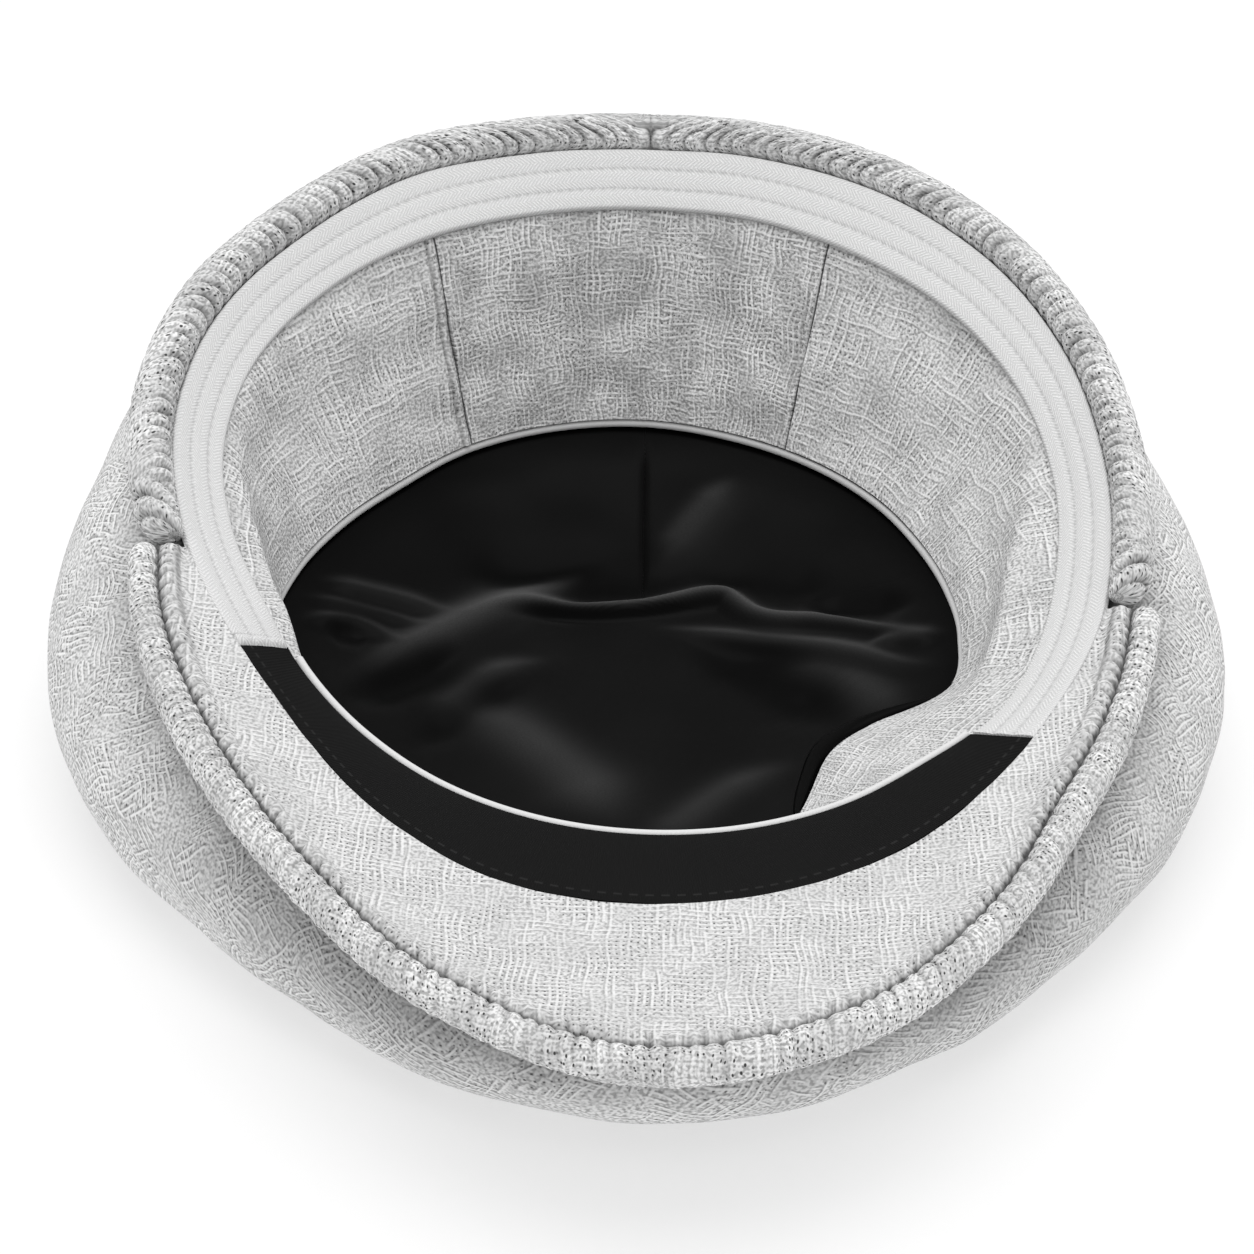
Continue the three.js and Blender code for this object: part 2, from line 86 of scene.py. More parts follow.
SHELL = table("azimuth rim inner bulge foot bowl bowl_z", [
    (0, 94.7, 83.8, 119, 98, 66, 19.2), (15, 97.7, 87.8, 117, 97, 66.5, 20.2),
    (30, 102, 91.7, 114.5, 96, 68, 20.2), (45, 105.1, 94.1, 114.5, 95, 71, 20.2),
    (60, 105.2, 94.2, 115, 94, 74, 20.2), (75, 103.2, 93.6, 115.5, 93, 77, 20.2),
    (90, 101, 92.3, 116, 93, 79.5, 20.2), (105, 101.8, 92.7, 116, 93, 79.5, 20.2),
    (120, 104.4, 94.4, 116, 94, 78.3, 20.2), (135, 104, 95.1, 116.5, 95, 75.3, 20.2),
    (150, 103.6, 94.2, 118.5, 97, 75, 20.2), (165, 99.8, 89.8, 120.5, 98, 75.5, 20.2),
    (180, 94.2, 83.1, 121.5, 99, 75.6, 20.2), (195, 89.3, 77.2, 121, 99, 73, 19.5),
    (210, 86.6, 75.7, 119.5, 99, 72, 17), (225, 88.7, 75.3, 118.5, 99, 72, 14),
    (240, 94.3, 75.7, 122, 99, 76, 14), (255, 99.9, 75.9, 129, 100, 80, 14),
    (270, 101, 76, 134, 101, 82, 14), (285, 100, 76.2, 132, 100, 80, 14),
    (300, 97.2, 76.5, 126, 99, 76, 15), (315, 93.7, 76.9, 121, 98, 72, 16),
    (330, 92, 80, 119.5, 98, 70, 15.5), (345, 93.2, 81.5, 119.5, 98, 68, 16.5),
])
PEAK_EDGE = table("azimuth edge", [
    (180, 102), (195, 104.2), (210, 107.6), (225, 113.5), (240, 123.5), (255, 138.5), (270, 149.8),
    (285, 144.4), (300, 129.8), (315, 115.8), (330, 109), (345, 105.3), (360, 104),
])
FLAPS = table("azimuth fold_in fold_drop edge edge_z", [
    (-75, 5, 4, 79, 18), (-60, 7, 5, 63, 18), (-45, 9, 6, 52.6, 18), (-30, 10, 6, 53.5, 18),
    (-15, 10, 5, 64.8, 20.5), (0, 10, 4, 65.8, 22), (15, 6, 3.5, 66.3, 22), (30, 1.5, 3.5, 67.8, 22),
    (45, 0.5, 4, 70.8, 22), (60, 0.5, 4, 73.9, 22), (75, 0.5, 4, 76.8, 22), (90, 0.5, 4, 79.4, 22),
    (105, 0.5, 4, 79.6, 22), (120, 0.5, 4, 78.3, 22), (135, 0.5, 4, 75.3, 22), (150, 0.8, 4, 75, 22),
    (165, 3.5, 3.5, 75.5, 22), (180, 6, 3, 75.6, 22), (195, 5, 3, 73, 22), (210, 2, 3, 70.5, 22),
])

# Ridges and hollows of the slack satin in plan: height, width and the points that each runs through.
SATIN_FOLDS = [
    (3.0, 5.0, [(-7, 43), (-16, 35), (-26, 27), (-36, 19), (-46, 8), (-52, 0), (-62, -15)]),
    (3.2, 2.6, [(-36, 19), (-30, 24), (-20, 26), (-10, 26), (0, 27), (7, 29), (13, 31),
                (18, 31), (20, 28), (24, 23), (30, 20), (40, 18), (51, 12), (63, 6)]),
    (1.4, 4.5, [(22, 66), (15, 58), (7, 47), (2, 38)]),
    (1.7, 2.8, [(0, 22), (17, 18), (32, 13), (43, 8), (54, -1), (63, -4)]),
    (1.2, 2.4, [(46, 8), (54, 8), (64, 4)]),
    (1.5, 6.0, [(22, 6), (34, 2), (44, -5), (51, -14), (56, -24)]),
    (1.6, 5.5, [(0, -62), (4, -54), (12, -43), (21, -34), (34, -27)]),
    (2.0, 9.0, [(-44, -6), (-35, -13), (-24, -20), (-14, -32), (-7, -44), (-2, -56)]),
    (1.6, 4.0, [(-18, 9), (-29, 4), (-35, -5), (-46, -24)]),
    (1.6, 3.0, [(-71, 20), (-60, 21), (-49, 21), (-39, 19)]),
    (1.2, 2.4, [(-73, 4), (-67, 9), (-59, 11), (-53, 8), (-49, 4)]),
    (1.0, 2.2, [(-74, 13), (-65, 15), (-52, 15), (-43, 13)]),
    (-1.2, 6.5, [(-42, 33), (-28, 38), (-14, 42), (0, 45)]),
    (-1.0, 6.5, [(-38, 32), (-26, 33), (-12, 35), (2, 36), (14, 38)]),
    (-1.0, 6.0, [(10, 38), (22, 37), (32, 32), (44, 28)]),
    (-1.5, 4.0, [(34, 25), (46, 21), (59, 18)]),
    (-1.6, 7.0, [(9, 17), (20, 8), (34, -4), (42, -18)]),
    (-1.5, 4.5, [(-38, 10), (-45, -1), (-61, -19)]),
    (-1.2, 4.5, [(-23, 3), (-36, -10), (-47, -30)]),
    (-0.9, 3.0, [(-66, 5), (-57, 7)]),
    (-1.1, 1.6, [(-30, 21), (-19, 24), (-8, 24), (6, 26), (14, 28)]),
    (-0.6, 0.8, [(0, 90), (0, 79), (0, 55), (0, 27)]),
]

# ---- curves, noise and paths


def curve_of(rows, name):
    """A smooth curve through one column of a table whose rows are evenly spaced in azimuth."""
    azimuths, values = rows["azimuth"], rows[name]
    step = azimuths[1] - azimuths[0]
    wraps = len(azimuths) * step == 360

    def at(azimuth):
        place = (np.asarray(azimuth, float) - azimuths[0]) / step
        row = np.floor(place).astype(int)
        t = place - row
        near = [row + k for k in (-1, 0, 1, 2)]
        near = [k % len(values) if wraps else np.clip(k, 0, len(values) - 1) for k in near]
        a, b, c, d = (values[k] for k in near)
        return b + 0.5 * t * (c - a + t * (2 * a - 5 * b + 4 * c - d + t * (3 * (b - c) + d - a)))

    return at


rim_radius, inner_radius, bulge_radius, foot_radius, bowl_radius, bowl_height = (
    curve_of(SHELL, name) for name in list(SHELL)[1:]
)
peak_edge = curve_of(PEAK_EDGE, "edge")
fold_in, fold_drop, flap_edge, flap_edge_z = (curve_of(FLAPS, name) for name in list(FLAPS)[1:])


def sine(azimuth):
    return np.sin(np.radians(azimuth))


def cosine(azimuth):
    return np.cos(np.radians(azimuth))


def lerp(a, b, t):
    return a + (b - a) * t


def clamp(x):
    return np.clip(x, 0, 1)


def smoothstep(x, low, high):
    t = clamp((x - low) / (high - low))
    return t * t * (3 - 2 * t)


def bell(distance, width):
    """1 at no distance, falling to almost nothing at twice the width."""
    return np.exp(-((distance / width) ** 2))


def together(*columns):
    """The columns side by side, stretched to one shape, as points."""
    return np.stack(np.broadcast_arrays(*(np.asarray(column, float) for column in columns)), -1)


def rz(radius, height):
    return together(radius, height)


def polar(azimuth, path):
    """Sections of (radius, height) at their azimuths, as points."""
    a = np.asarray(azimuth, float)
    a = a[:, None] if a.ndim == 1 else a
    return together(path[..., 0] * cosine(a), path[..., 0] * sine(a), path[..., 1])


def rim_height(azimuth, radius):
    back = radius * sine(azimuth) / RIM["reach"]
    return RIM["side"] + RIM["tilt"] * back + RIM["dish"] * back**2 - RIM["lean"] * radius * cosine(azimuth)


def noise(points, size, seed):
    """Smooth noise from about -1 to 1 with lumps of that size in mm."""
    rng = np.random.default_rng(seed)
    order = rng.permutation(256)
    slopes = rng.normal(size=(256, 3))
    slopes /= np.linalg.norm(slopes, axis=1, keepdims=True)
    place = points / size
    cell = np.floor(place).astype(int)
    part = place - cell
    smooth = part**3 * (part * (part * 6 - 15) + 10)
    total = np.zeros(points.shape[:-1])
    for corner in product((0, 1), repeat=3):
        k = (cell + corner) & 255
        pick = order[(order[(order[k[..., 0]] + k[..., 1]) & 255] + k[..., 2]) & 255]
        share = np.prod(np.where(corner, smooth, 1 - smooth), -1)
        total += share * (slopes[pick] * (part - corner)).sum(-1)
    return 1.6 * total


def end_to_end(*paths):
    """Paths or grids joined one after the other along their sections."""
    return np.concatenate(paths, axis=1)


def travelled(steps):
    """How far along a line each end of its steps is."""
    return np.concatenate([[0], np.cumsum(steps)])


def lengths(path):
    """How far along its section each point of a path is."""
    step = np.linalg.norm(np.diff(path, axis=1), axis=2)
    return end_to_end(np.zeros((len(path), 1)), np.cumsum(step, axis=1))


def resample(path, count):
    """The same path of each section, evenly sampled."""
    along = lengths(path)
    out = np.empty((len(path), count, 2))
    for i, (p, a) in enumerate(zip(path, along)):
        at = np.linspace(0, a[-1], count)
        out[i] = np.stack([np.interp(at, a, p[:, k]) for k in (0, 1)], -1)
    return out


def rounded(path, count, radius):
    """The path of each section, evenly sampled, with corners rounded to about that radius in mm."""
    even = resample(path, count)
    spacing = lengths(even)[:, -1].mean() / (count - 1)
    reach = max(1, min(int(2.5 * radius / spacing), count - 2))
    weights = np.exp(-0.5 * (np.arange(-reach, reach + 1) * spacing / radius) ** 2)
    weights /= weights.sum()
    before = 2 * even[:, :1] - even[:, reach:0:-1]
    after = 2 * even[:, -1:] - even[:, -2:-reach - 2:-1]
    long = end_to_end(before, even, after)
    return sum(w * long[:, k:k + count] for k, w in enumerate(weights))


def beside(start, end, along, off):
    """Points moved along the line from start to end, and off it to its lower right."""
    t = end - start
    t = t / np.linalg.norm(t, axis=-1, keepdims=True)
    along, off = (np.asarray(distance, float)[..., None] for distance in (along, off))
    return start + t * along + rz(t[..., 1], -t[..., 0]) * off


def stack_path(*points):
    """Points of (radius, height), each with a row for every azimuth, as one path."""
    return np.stack(points, 1)


def offset(path, thickness):
    """The path moved sideways, to its left where the thickness is positive."""
    t = np.gradient(path, axis=1)
    t /= np.linalg.norm(t, axis=2, keepdims=True)
    return path + rz(-t[..., 1], t[..., 0]) * thickness


def normals(grid, around=False, closed=False):
    """Unit normals of a grid of points that may join up around the cap and along its sections."""

    def slope(axis, wraps):
        if wraps:
            return np.roll(grid, -1, axis) - np.roll(grid, 1, axis)
        return np.gradient(grid, axis=axis)

    n = np.cross(slope(0, around), slope(1, closed))
    return n / np.maximum(np.linalg.norm(n, axis=2, keepdims=True), 1e-9)


# ---- meshes


def linked(name, data):
    made = bpy.data.objects.new(name, data)
    bpy.context.collection.objects.link(made)
    return made


def store(mesh, name, values):
    """Keep a number for each point of the mesh, for its material to read."""
    mesh.attributes.new(name, "FLOAT", "POINT").data.foreach_set("value", values.astype(np.float32).ravel())


def grid_mesh(name, grid, uv=None, around=False, crease=55, shade=None):
    """A closed mesh over a grid of points in mm, with a row for each section.

    around joins the last section to the first, and then uv has one more row than the grid. Otherwise flat
    faces close the ends. Without uv the cloth lies as seen from above. shade, from 0 to 1, darkens the
    colour:
    painted shade in creases and other places in shade, and dark seams and stitches.
    """
    if uv is None:
        uv = np.concatenate([grid, grid[:1]])[..., :2]
    rows, cols = grid.shape[:2]
    i, j = np.meshgrid(np.arange(rows if around else rows - 1), np.arange(cols), indexing="ij")
    i2, j2 = (i + 1) % rows, (j + 1) % cols
    quads = np.stack([i * cols + j, i * cols + j2, i2 * cols + j2, i2 * cols + j], -1).reshape(-1, 4)
    uvs = np.stack([uv[i, j], uv[i, j2], uv[i + 1, j2], uv[i + 1, j]], 2).reshape(-1, 4, 2)
    points = grid.reshape(-1, 3)
    a, b, c, d = (points[quads[:, k]] for k in range(4))
    flip = ((a * np.cross(b, c)).sum() + (a * np.cross(c, d)).sum()) < 0
    if flip:
        quads, uvs = quads[:, ::-1], uvs[:, ::-1]
    faces, loops_uv, sizes = [quads.ravel()], [uvs.reshape(-1, 2)], [np.full(len(quads), 4)]
    if not around:
        for row, turned in ((0, not flip), (rows - 1, flip)):
            ring = np.arange(cols)[::-1 if turned else 1]
            faces.append(row * cols + ring)
            loops_uv.append(uv[row, ring])
            sizes.append(np.array([cols]))
    faces, loops_uv, sizes = (np.concatenate(x) for x in (faces, loops_uv, sizes))
    mesh = bpy.data.meshes.new(name)
    mesh.vertices.add(len(points))
    mesh.vertices.foreach_set("co", (points * MM + ORIGIN).astype(np.float32).ravel())
    mesh.loops.add(len(faces))
    mesh.loops.foreach_set("vertex_index", faces.astype(np.int32))
    mesh.polygons.add(len(sizes))
    mesh.polygons.foreach_set("loop_start", travelled(sizes[:-1]).astype(np.int32))
    mesh.uv_layers.new(name="Cloth").data.foreach_set("uv", loops_uv.astype(np.float32).ravel())
    mesh.update(calc_edges=True)
    mesh.validate()
    if shade is not None:
        store(mesh, "Shade", np.broadcast_to(shade, grid.shape[:2]))
    mesh.polygons.foreach_set("use_smooth", np.ones(len(mesh.polygons), bool))
    mesh.set_sharp_from_angle(angle=math.radians(crease))
    return linked(name, mesh)


def show(piece, material, node):
    """Give the piece its material, and let it stand in for a node of the CAD part."""
    piece.data.materials.append(material)
    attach(piece, "root")
    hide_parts(node)


def wall(name, azimuth, front, thickness, relief=0, around=False, uv=None, reference=100, shade=0):
    """A wall swept round the cap: a fine outer skin raised by its relief, and a coarser back.

    reference is the radius in mm at which the cloth isn't stretched, unless uv says how the cloth runs.
    """
    back = offset(front, thickness)
    skin = polar(azimuth, front)
    n = normals(skin, around)
    toward = polar(azimuth, back) - skin
    n *= -np.sign((n * toward).sum())
    skin = skin + n * np.broadcast_to(relief, skin.shape[:2])[..., None]
    keep = np.unique(np.append(np.arange(0, front.shape[1], BACK_STEP), front.shape[1] - 1))[::-1]
    grid = end_to_end(skin, polar(azimuth, back)[:, keep])
    if uv is None:
        uv = together(np.radians(azimuth)[:, None] * reference, lengths(front))
    uv = end_to_end(uv, uv[:, keep])
    if around:
        last = uv[:1].copy()
        last[..., 0] += 2 * math.pi * reference
        uv = np.concatenate([uv, last])
    shade = np.broadcast_to(shade, skin.shape[:2])
    shade = end_to_end(shade, shade[:, keep] * 0)
    return grid_mesh(name, grid, uv, around, shade=shade)


def span(start, end, spacing, radius):
    """Azimuths from one to the other, about that many mm apart at the radius."""
    count = int(abs(math.radians(end - start)) * radius / spacing)
    return np.linspace(start, end, count + 1)


def arc_length(azimuth, radius):
    """Distance in mm travelled round a curve of that radius at each azimuth."""
    return travelled(np.radians(np.diff(azimuth)) * (radius[1:] + radius[:-1]) / 2)


# ---- materials


class Shader:
    """A material made of nodes. Every node's output can go straight into another's input."""

    def __init__(self, name):
        self.material = bpy.data.materials.new(name)
        self.material.use_nodes = True
        self.tree = self.material.node_tree
        self.surface = self.tree.nodes["Principled BSDF"]

    def node(self, kind, inputs=(), **settings):
        made = self.tree.nodes.new("ShaderNode" + kind)
        for key, value in settings.items():
            setattr(made, key, value)
        for key, value in dict(inputs).items():
            self.set(made, key, value)
        return made

    def set(self, node, key, value):
        if isinstance(value, bpy.types.NodeSocket):
            self.tree.links.new(value, node.inputs[key])
        else:
            node.inputs[key].default_value = value

    def math(self, operation, a, b=0.0, c=0.0):
        return self.node("Math", {0: a, 1: b, 2: c}, operation=operation).outputs[0]

    def times(self, a, b):
        return self.math("MULTIPLY", a, b)

    def vector(self, operation, a, b):
        return self.node("VectorMath", {0: a, 1: b}, operation=operation).outputs[0]

    def split(self, vector):
        return self.node("SeparateXYZ", {0: vector}).outputs

    def cloth(self):
        return self.node("UVMap", uv_map="Cloth").outputs[0]

    def stored(self, name):
        return self.node("Attribute", attribute_name=name).outputs["Fac"]

    def placed(self, vector, scale=(1, 1, 1), turn=0.0, move=(0, 0, 0)):
        """The vector turned by degrees, then scaled and moved."""
        turned = self.node("VectorRotate", {"Vector": vector, "Angle": math.radians(turn)},
                           rotation_type="Z_AXIS").outputs[0]
        return self.vector("ADD", self.vector("MULTIPLY", turned, scale), move)

    def noise(self, vector, detail=0.0, colour=False):
        made = self.node("TexNoise", {"Vector": vector, "Scale": 1.0, "Detail": detail, "Roughness": 0.5},
                         noise_dimensions="2D")
        return made.outputs[1 if colour else 0]

    def ramp(self, value, low, high, to_low=0.0, to_high=1.0, smooth=True):
        ends = {"From Min": low, "From Max": high, "To Min": to_low, "To Max": to_high}
        made = self.node("MapRange", {"Value": value, **ends},
                         interpolation_type="SMOOTHSTEP" if smooth else "LINEAR")
        return made.outputs[0]

    def near(self, value, middle, inner, outer):
        """1 within the inner distance of the middle, falling to 0 at the outer one."""
        off = self.math("ABSOLUTE", self.math("SUBTRACT", value, middle))
        return self.ramp(off, inner, outer, 1.0, 0.0)

    def threads(self, vector, turn, pitch, length, thick, share, seed):
        """Threads side by side that come and go along their way: how light each place is, and how shaded."""
        along, across, _ = self.split(self.placed(vector, turn=turn))
        number = self.math("ROUND", self.math("DIVIDE", across, pitch))
        off = self.math("SUBTRACT", across, self.times(number, pitch))
        row = self.math("MULTIPLY_ADD", number, 3.7, seed)
        place = self.node("CombineXYZ", {0: self.math("DIVIDE", along, length), 1: row}).outputs[0]
        seen = self.ramp(self.noise(place), 0.62 - 0.24 * share, 0.7 - 0.24 * share)
        # Beside each thread lies a painted shadow.
        lit, shaded = self.near(off, 0.0, 0.25 * thick, thick), self.near(off, -1.35 * thick, 0.0, thick)
        return self.times(lit, seen), self.times(shaded, seen)

    def mix(self, share, a, b):
        return self.node("Mix", {0: share, 6: a, 7: b}, data_type="RGBA").outputs[2]

    def creased(self, colour, depth, dark):
        """The colour with creases that are darker, where the mesh's Shade says so."""
        # Painted shade: darkens the creases and other places that the mesh's Shade marks.
        return self.mix(self.times(self.stored("Shade"), depth), colour, dark)

    def bump(self, height, distance, strength):
        inputs = {"Height": height, "Distance": distance * MM, "Strength": strength}
        return self.node("Bump", inputs).outputs[0]

    def finish(self, **values):
        for key, value in values.items():
            self.set(self.surface, key.replace("_", " ").title().replace("Ior", "IOR"), value)
        return self.material


def grey(value):
    """A shade of grey given as it is on a screen, from 0 to 255."""
    s = value / 255
    linear = s / 12.92 if s <= 0.04045 else ((s + 0.055) / 1.055) ** 2.4
    return (linear, linear, linear, 1.0)


def tweed(name, weave, base, light, turn=0.0, wave=2.8, long=0.0, hairs=0.0, curls=0.0, dots=1.0, rows=0.0,
          blotch=7, depth=75):
    """Pale tweed of wandering threads with pinholes between them.

    turn is in degrees, and wave is how far threads wander. weave, long, hairs, curls, dots and rows say how
    strongly each kind of thread and pinhole shows. base is the middle grey, which varies by the blotch, light
    that of the threads, and depth how much darker the mottled places are. A painted shadow, 25 darker still,
    lies along one side of each thread.
    """
    s = Shader(name)
    uv = s.placed(s.cloth(), turn=turn)
    wander = s.vector("SUBTRACT", s.noise(s.placed(uv, (0.13, 0.13, 0)), colour=True), (0.5,) * 3)
    bent = s.vector("ADD", uv, s.vector("MULTIPLY", wander, (wave, wave, 0)))
    patch, some, more = s.split(s.noise(s.placed(uv, (0.1, 0.1, 0), 0, (4, 9, 0)), colour=True))
    mesh, dark = 0.62, 92
    # Threads: turn, pitch, length, thickness, how much of them shows, and how strongly.
    woven = s.ramp(patch, 0.36, 0.56, 0.65 * weave, weave)
    sets = [(0, 2 * mesh, 6, 0.32, 0.7, woven), (90, 2 * mesh, 9, 0.32, 0.7, woven)]
    if hairs:
        sets += [(37, 1.4, 4, 0.3, 0.8, s.ramp(some, 0.42, 0.5, 0.4 * hairs, hairs)),
                 (-44, 1.3, 4.5, 0.3, 0.8, s.ramp(more, 0.42, 0.5, 0.4 * hairs, hairs))]
    if long:
        sets += [(9, 2.1, 22, 0.36, 1.0, s.ramp(more, 0.36, 0.5, 0.4 * long, long)),
                 (96, 2.4, 9, 0.36, 0.95, s.ramp(some, 0.36, 0.5, 0.4 * long, long))]
    threads = shaded = 0.0
    for seed, (*thread, strength) in enumerate(sets):
        lit, beneath = s.threads(bent, *thread, 5.3 * seed)
        threads = s.math("MAXIMUM", threads, s.times(lit, strength))
        shaded = s.math("MAXIMUM", shaded, s.times(beneath, strength))
    if curls:
        curl = s.near(s.noise(s.placed(uv, (0.5, 0.5, 0), 0, (2, 2, 0))), 0.5, 0.0, 0.035)
        threads = s.math("MAXIMUM", threads, s.times(curl, s.ramp(more, 0.42, 0.56, 0.0, curls)))
    fine = s.noise(s.placed(uv, (1.5, 1.5, 0)))
    shade = s.mix(s.ramp(patch, 0.35, 0.65, smooth=False), grey(base - blotch), grey(base + blotch))
    shade = s.mix(s.ramp(fine, 0.3, 0.62, 0.75, 0.0), shade, grey(base - depth))
    # Painted shadow along one side of each thread.
    shade = s.mix(s.times(shaded, 0.75), shade, grey(base - depth - 25))
    x, y, _ = s.split(bent)
    between = s.math("MINIMUM", *(s.math("PINGPONG", s.math("ADD", way, 0.2), mesh) for way in (x, y)))
    hole = s.times(s.ramp(between, 0.36, 0.55), s.ramp(some, 0.42, 0.58, 0.1 * dots, dots))
    shade = s.mix(hole, shade, grey(dark))
    shade = s.mix(s.times(threads, 0.82), shade, grey(light))
    if rows:
        place = s.placed(bent, (0.75, 0.5, 0))
        cells = s.node("TexVoronoi", {"Vector": place, "Scale": 1.0, "Randomness": 0.75},
                       voronoi_dimensions="2D")
        spot = s.ramp(cells.outputs["Distance"], 0.1, 0.18, 1.0, 0.0)
        spot = s.times(spot, s.ramp(more, 0.36, 0.5, 0.15 * rows, rows))
        shade = s.mix(spot, shade, grey(dark - 25))
    # Painted shade in the creases and other places that the mesh's Shade marks.
    shade = s.creased(shade, 0.8, grey(62))
    return s.finish(base_color=shade, roughness=0.9, normal=s.bump(fine, 0.3, 0.8), specular_ior_level=0.0)


def tape_cloth(name, column=1.7, pitch=0.85):
    """Herringbone tape: twill lines at that pitch that change direction from one column to the next."""
    s = Shader(name)
    uv = s.cloth()
    along, across, _ = s.split(uv)
    wander = s.times(s.noise(s.placed(uv, (0.4, 0.4, 0)), 1.0), 0.5)
    slide = s.math("ADD", s.math("ADD", along, s.math("PINGPONG", across, column)), wander)
    twill = s.math("SINE", s.times(slide, 2 * math.pi / pitch))
    grain = s.noise(s.placed(uv, (2.2, 2.2, 0)), 1.0)
    ridge = s.times(s.ramp(twill, -1, 1, smooth=False), s.ramp(grain, 0.3, 0.6, 0.35, 1.0))
    # The mesh's Shade darkens the stitches and paints a shadow line along the hem.
    shade = s.creased(s.mix(ridge, grey(212), grey(241)), 0.7, grey(100))
    return s.finish(base_color=shade, roughness=0.85, normal=s.bump(ridge, 0.12, 0.9), specular_ior_level=0.0)


def black_ribbed(name, rib=0.45, stitch=2.6, from_edge=2.8):
    """Finely ribbed black cloth with a row of stitches beside its outer edge, where the cloth's v is 0."""
    s = Shader(name)
    along, across, _ = s.split(s.cloth())
    ribs = s.math("SINE", s.times(along, 2 * math.pi / rib))
    row = s.near(across, -from_edge, 0.15, 0.4)
    stitches = s.ramp(s.math("SINE", s.times(along, 2 * math.pi / stitch)), -0.3, 0.1)
    shade = s.mix(s.times(row, stitches), grey(7), grey(36))
    return s.finish(base_color=shade, roughness=0.8, normal=s.bump(ribs, 0.05, 0.6), specular_ior_level=0.15)


def plain(name, shade, roughness):
    s = Shader(name)
    grain = s.noise(s.placed(s.cloth(), (3.0, 1.1, 1), 30), 1.0)
    return s.finish(base_color=s.mix(grain, grey(shade - 8), grey(shade + 4)), roughness=roughness,
                    normal=s.bump(grain, 0.1, 0.5))


def satin(name):
    """Black satin. Its sheen on the folds comes from the mesh's Gleam, from 0 in a hollow to 1 on a ridge."""
    s = Shader(name)
    grain = s.noise(s.placed(s.cloth(), (2.0, 6.0, 0)), 1.0)
    # Painted highlight: the satin is lighter where the mesh marks its folds as catching the light.
    shade = s.mix(s.times(s.stored("PaintedSheen"), s.ramp(grain, 0.3, 0.7, 0.85, 1.1)), grey(2), grey(84))
    return s.finish(base_color=shade, roughness=s.ramp(grain, 0.3, 0.7, 0.3, 0.38), specular_ior_level=0.04,
                    normal=s.bump(grain, 0.02, 0.4))


CROWN_TWEED = tweed("tweed_crown", 0.4, base=233, light=254, turn=20, hairs=1.0)
FLAP_TWEED = tweed("tweed_flaps", 0.8, base=213, light=252, wave=2, hairs=0.25, curls=0.9, blotch=14)
SIDE_TWEED = tweed("tweed_side_panels", 0.3, base=222, light=252, turn=-8, wave=1.8, long=0.8, curls=0.7)
PEAK_TWEED = tweed("tweed_peak", 0.7, base=221, light=250, wave=1.3, hairs=0.35, blotch=4, depth=52)
ROLL_TWEED = tweed("tweed_rolls", 0.5, base=233, light=252, dots=0.6, rows=1.0, blotch=12)
TAPE_CLOTH = tape_cloth("herringbone_tape")
BINDING_CLOTH = plain("binding_cloth", 205, 0.85)
PIPING_CLOTH = plain("white_piping", 226, 0.7)
BLACK_BAND = black_ribbed("black_sweatband")
SATIN = satin("black_satin")

# ---- crown


def crown_profile(azimuth, stage):
    """Outer profile of the crown, from the rim at stage 0 over the bulge at 1 to the floor at 2."""
    a = azimuth[:, None]
    stage = np.broadcast_to(stage, (len(azimuth), np.shape(stage)[-1]))
    rim = rim_radius(a)
    widened = smoothstep(sine(a), -0.35, 0)
    raised = smoothstep(sine(a), -0.13, 0)
    top_r = rim + lerp(2, GAP + ROLL["radius"], widened)
    under_peak = max(PEAK["thickness"], PEAK["roll"]) + GAP
    top_z = rim_height(a, rim) - lerp(under_peak, ROLL["radius"] - ROLL["rise"] + GAP, raised)
    middle = CROWN["middle"] + CROWN["swing"] * sine(a)
    bulge, foot = bulge_radius(a), foot_radius(a)
    upper = stage < 1
    angle = np.where(upper, stage, stage - 1) * math.pi / 2
    power = 2 / np.where(upper, CROWN["above"], CROWN["below"])
    across = clamp(np.sin(angle)) ** power
    along = clamp(np.cos(angle)) ** power
    r = np.where(upper, lerp(top_r, bulge, across), lerp(foot, bulge, along))
    z = np.where(upper, lerp(middle, top_z, along), middle * (1 - across))
    return rz(r, z)


def seam_stage(azimuth, height):
    """The stage at which the crown's profile is at that height above the floor."""
    middle = CROWN["middle"] + CROWN["swing"] * sine(azimuth)
    return 1 + np.arcsin((1 - height / middle) ** (CROWN["below"] / 2)) / (math.pi / 2)


def creases(phase, sharp):
    """1 in the creases at whole phases, falling to 0 between them."""
    return (1 - np.abs(np.sin(math.pi * phase))) ** sharp


def wandering_creases(along, spacing, seed, sharp=1.5):
    return creases(along / spacing + 0.35 * noise(together(along, 0, 0), 3.1 * spacing, seed), sharp)


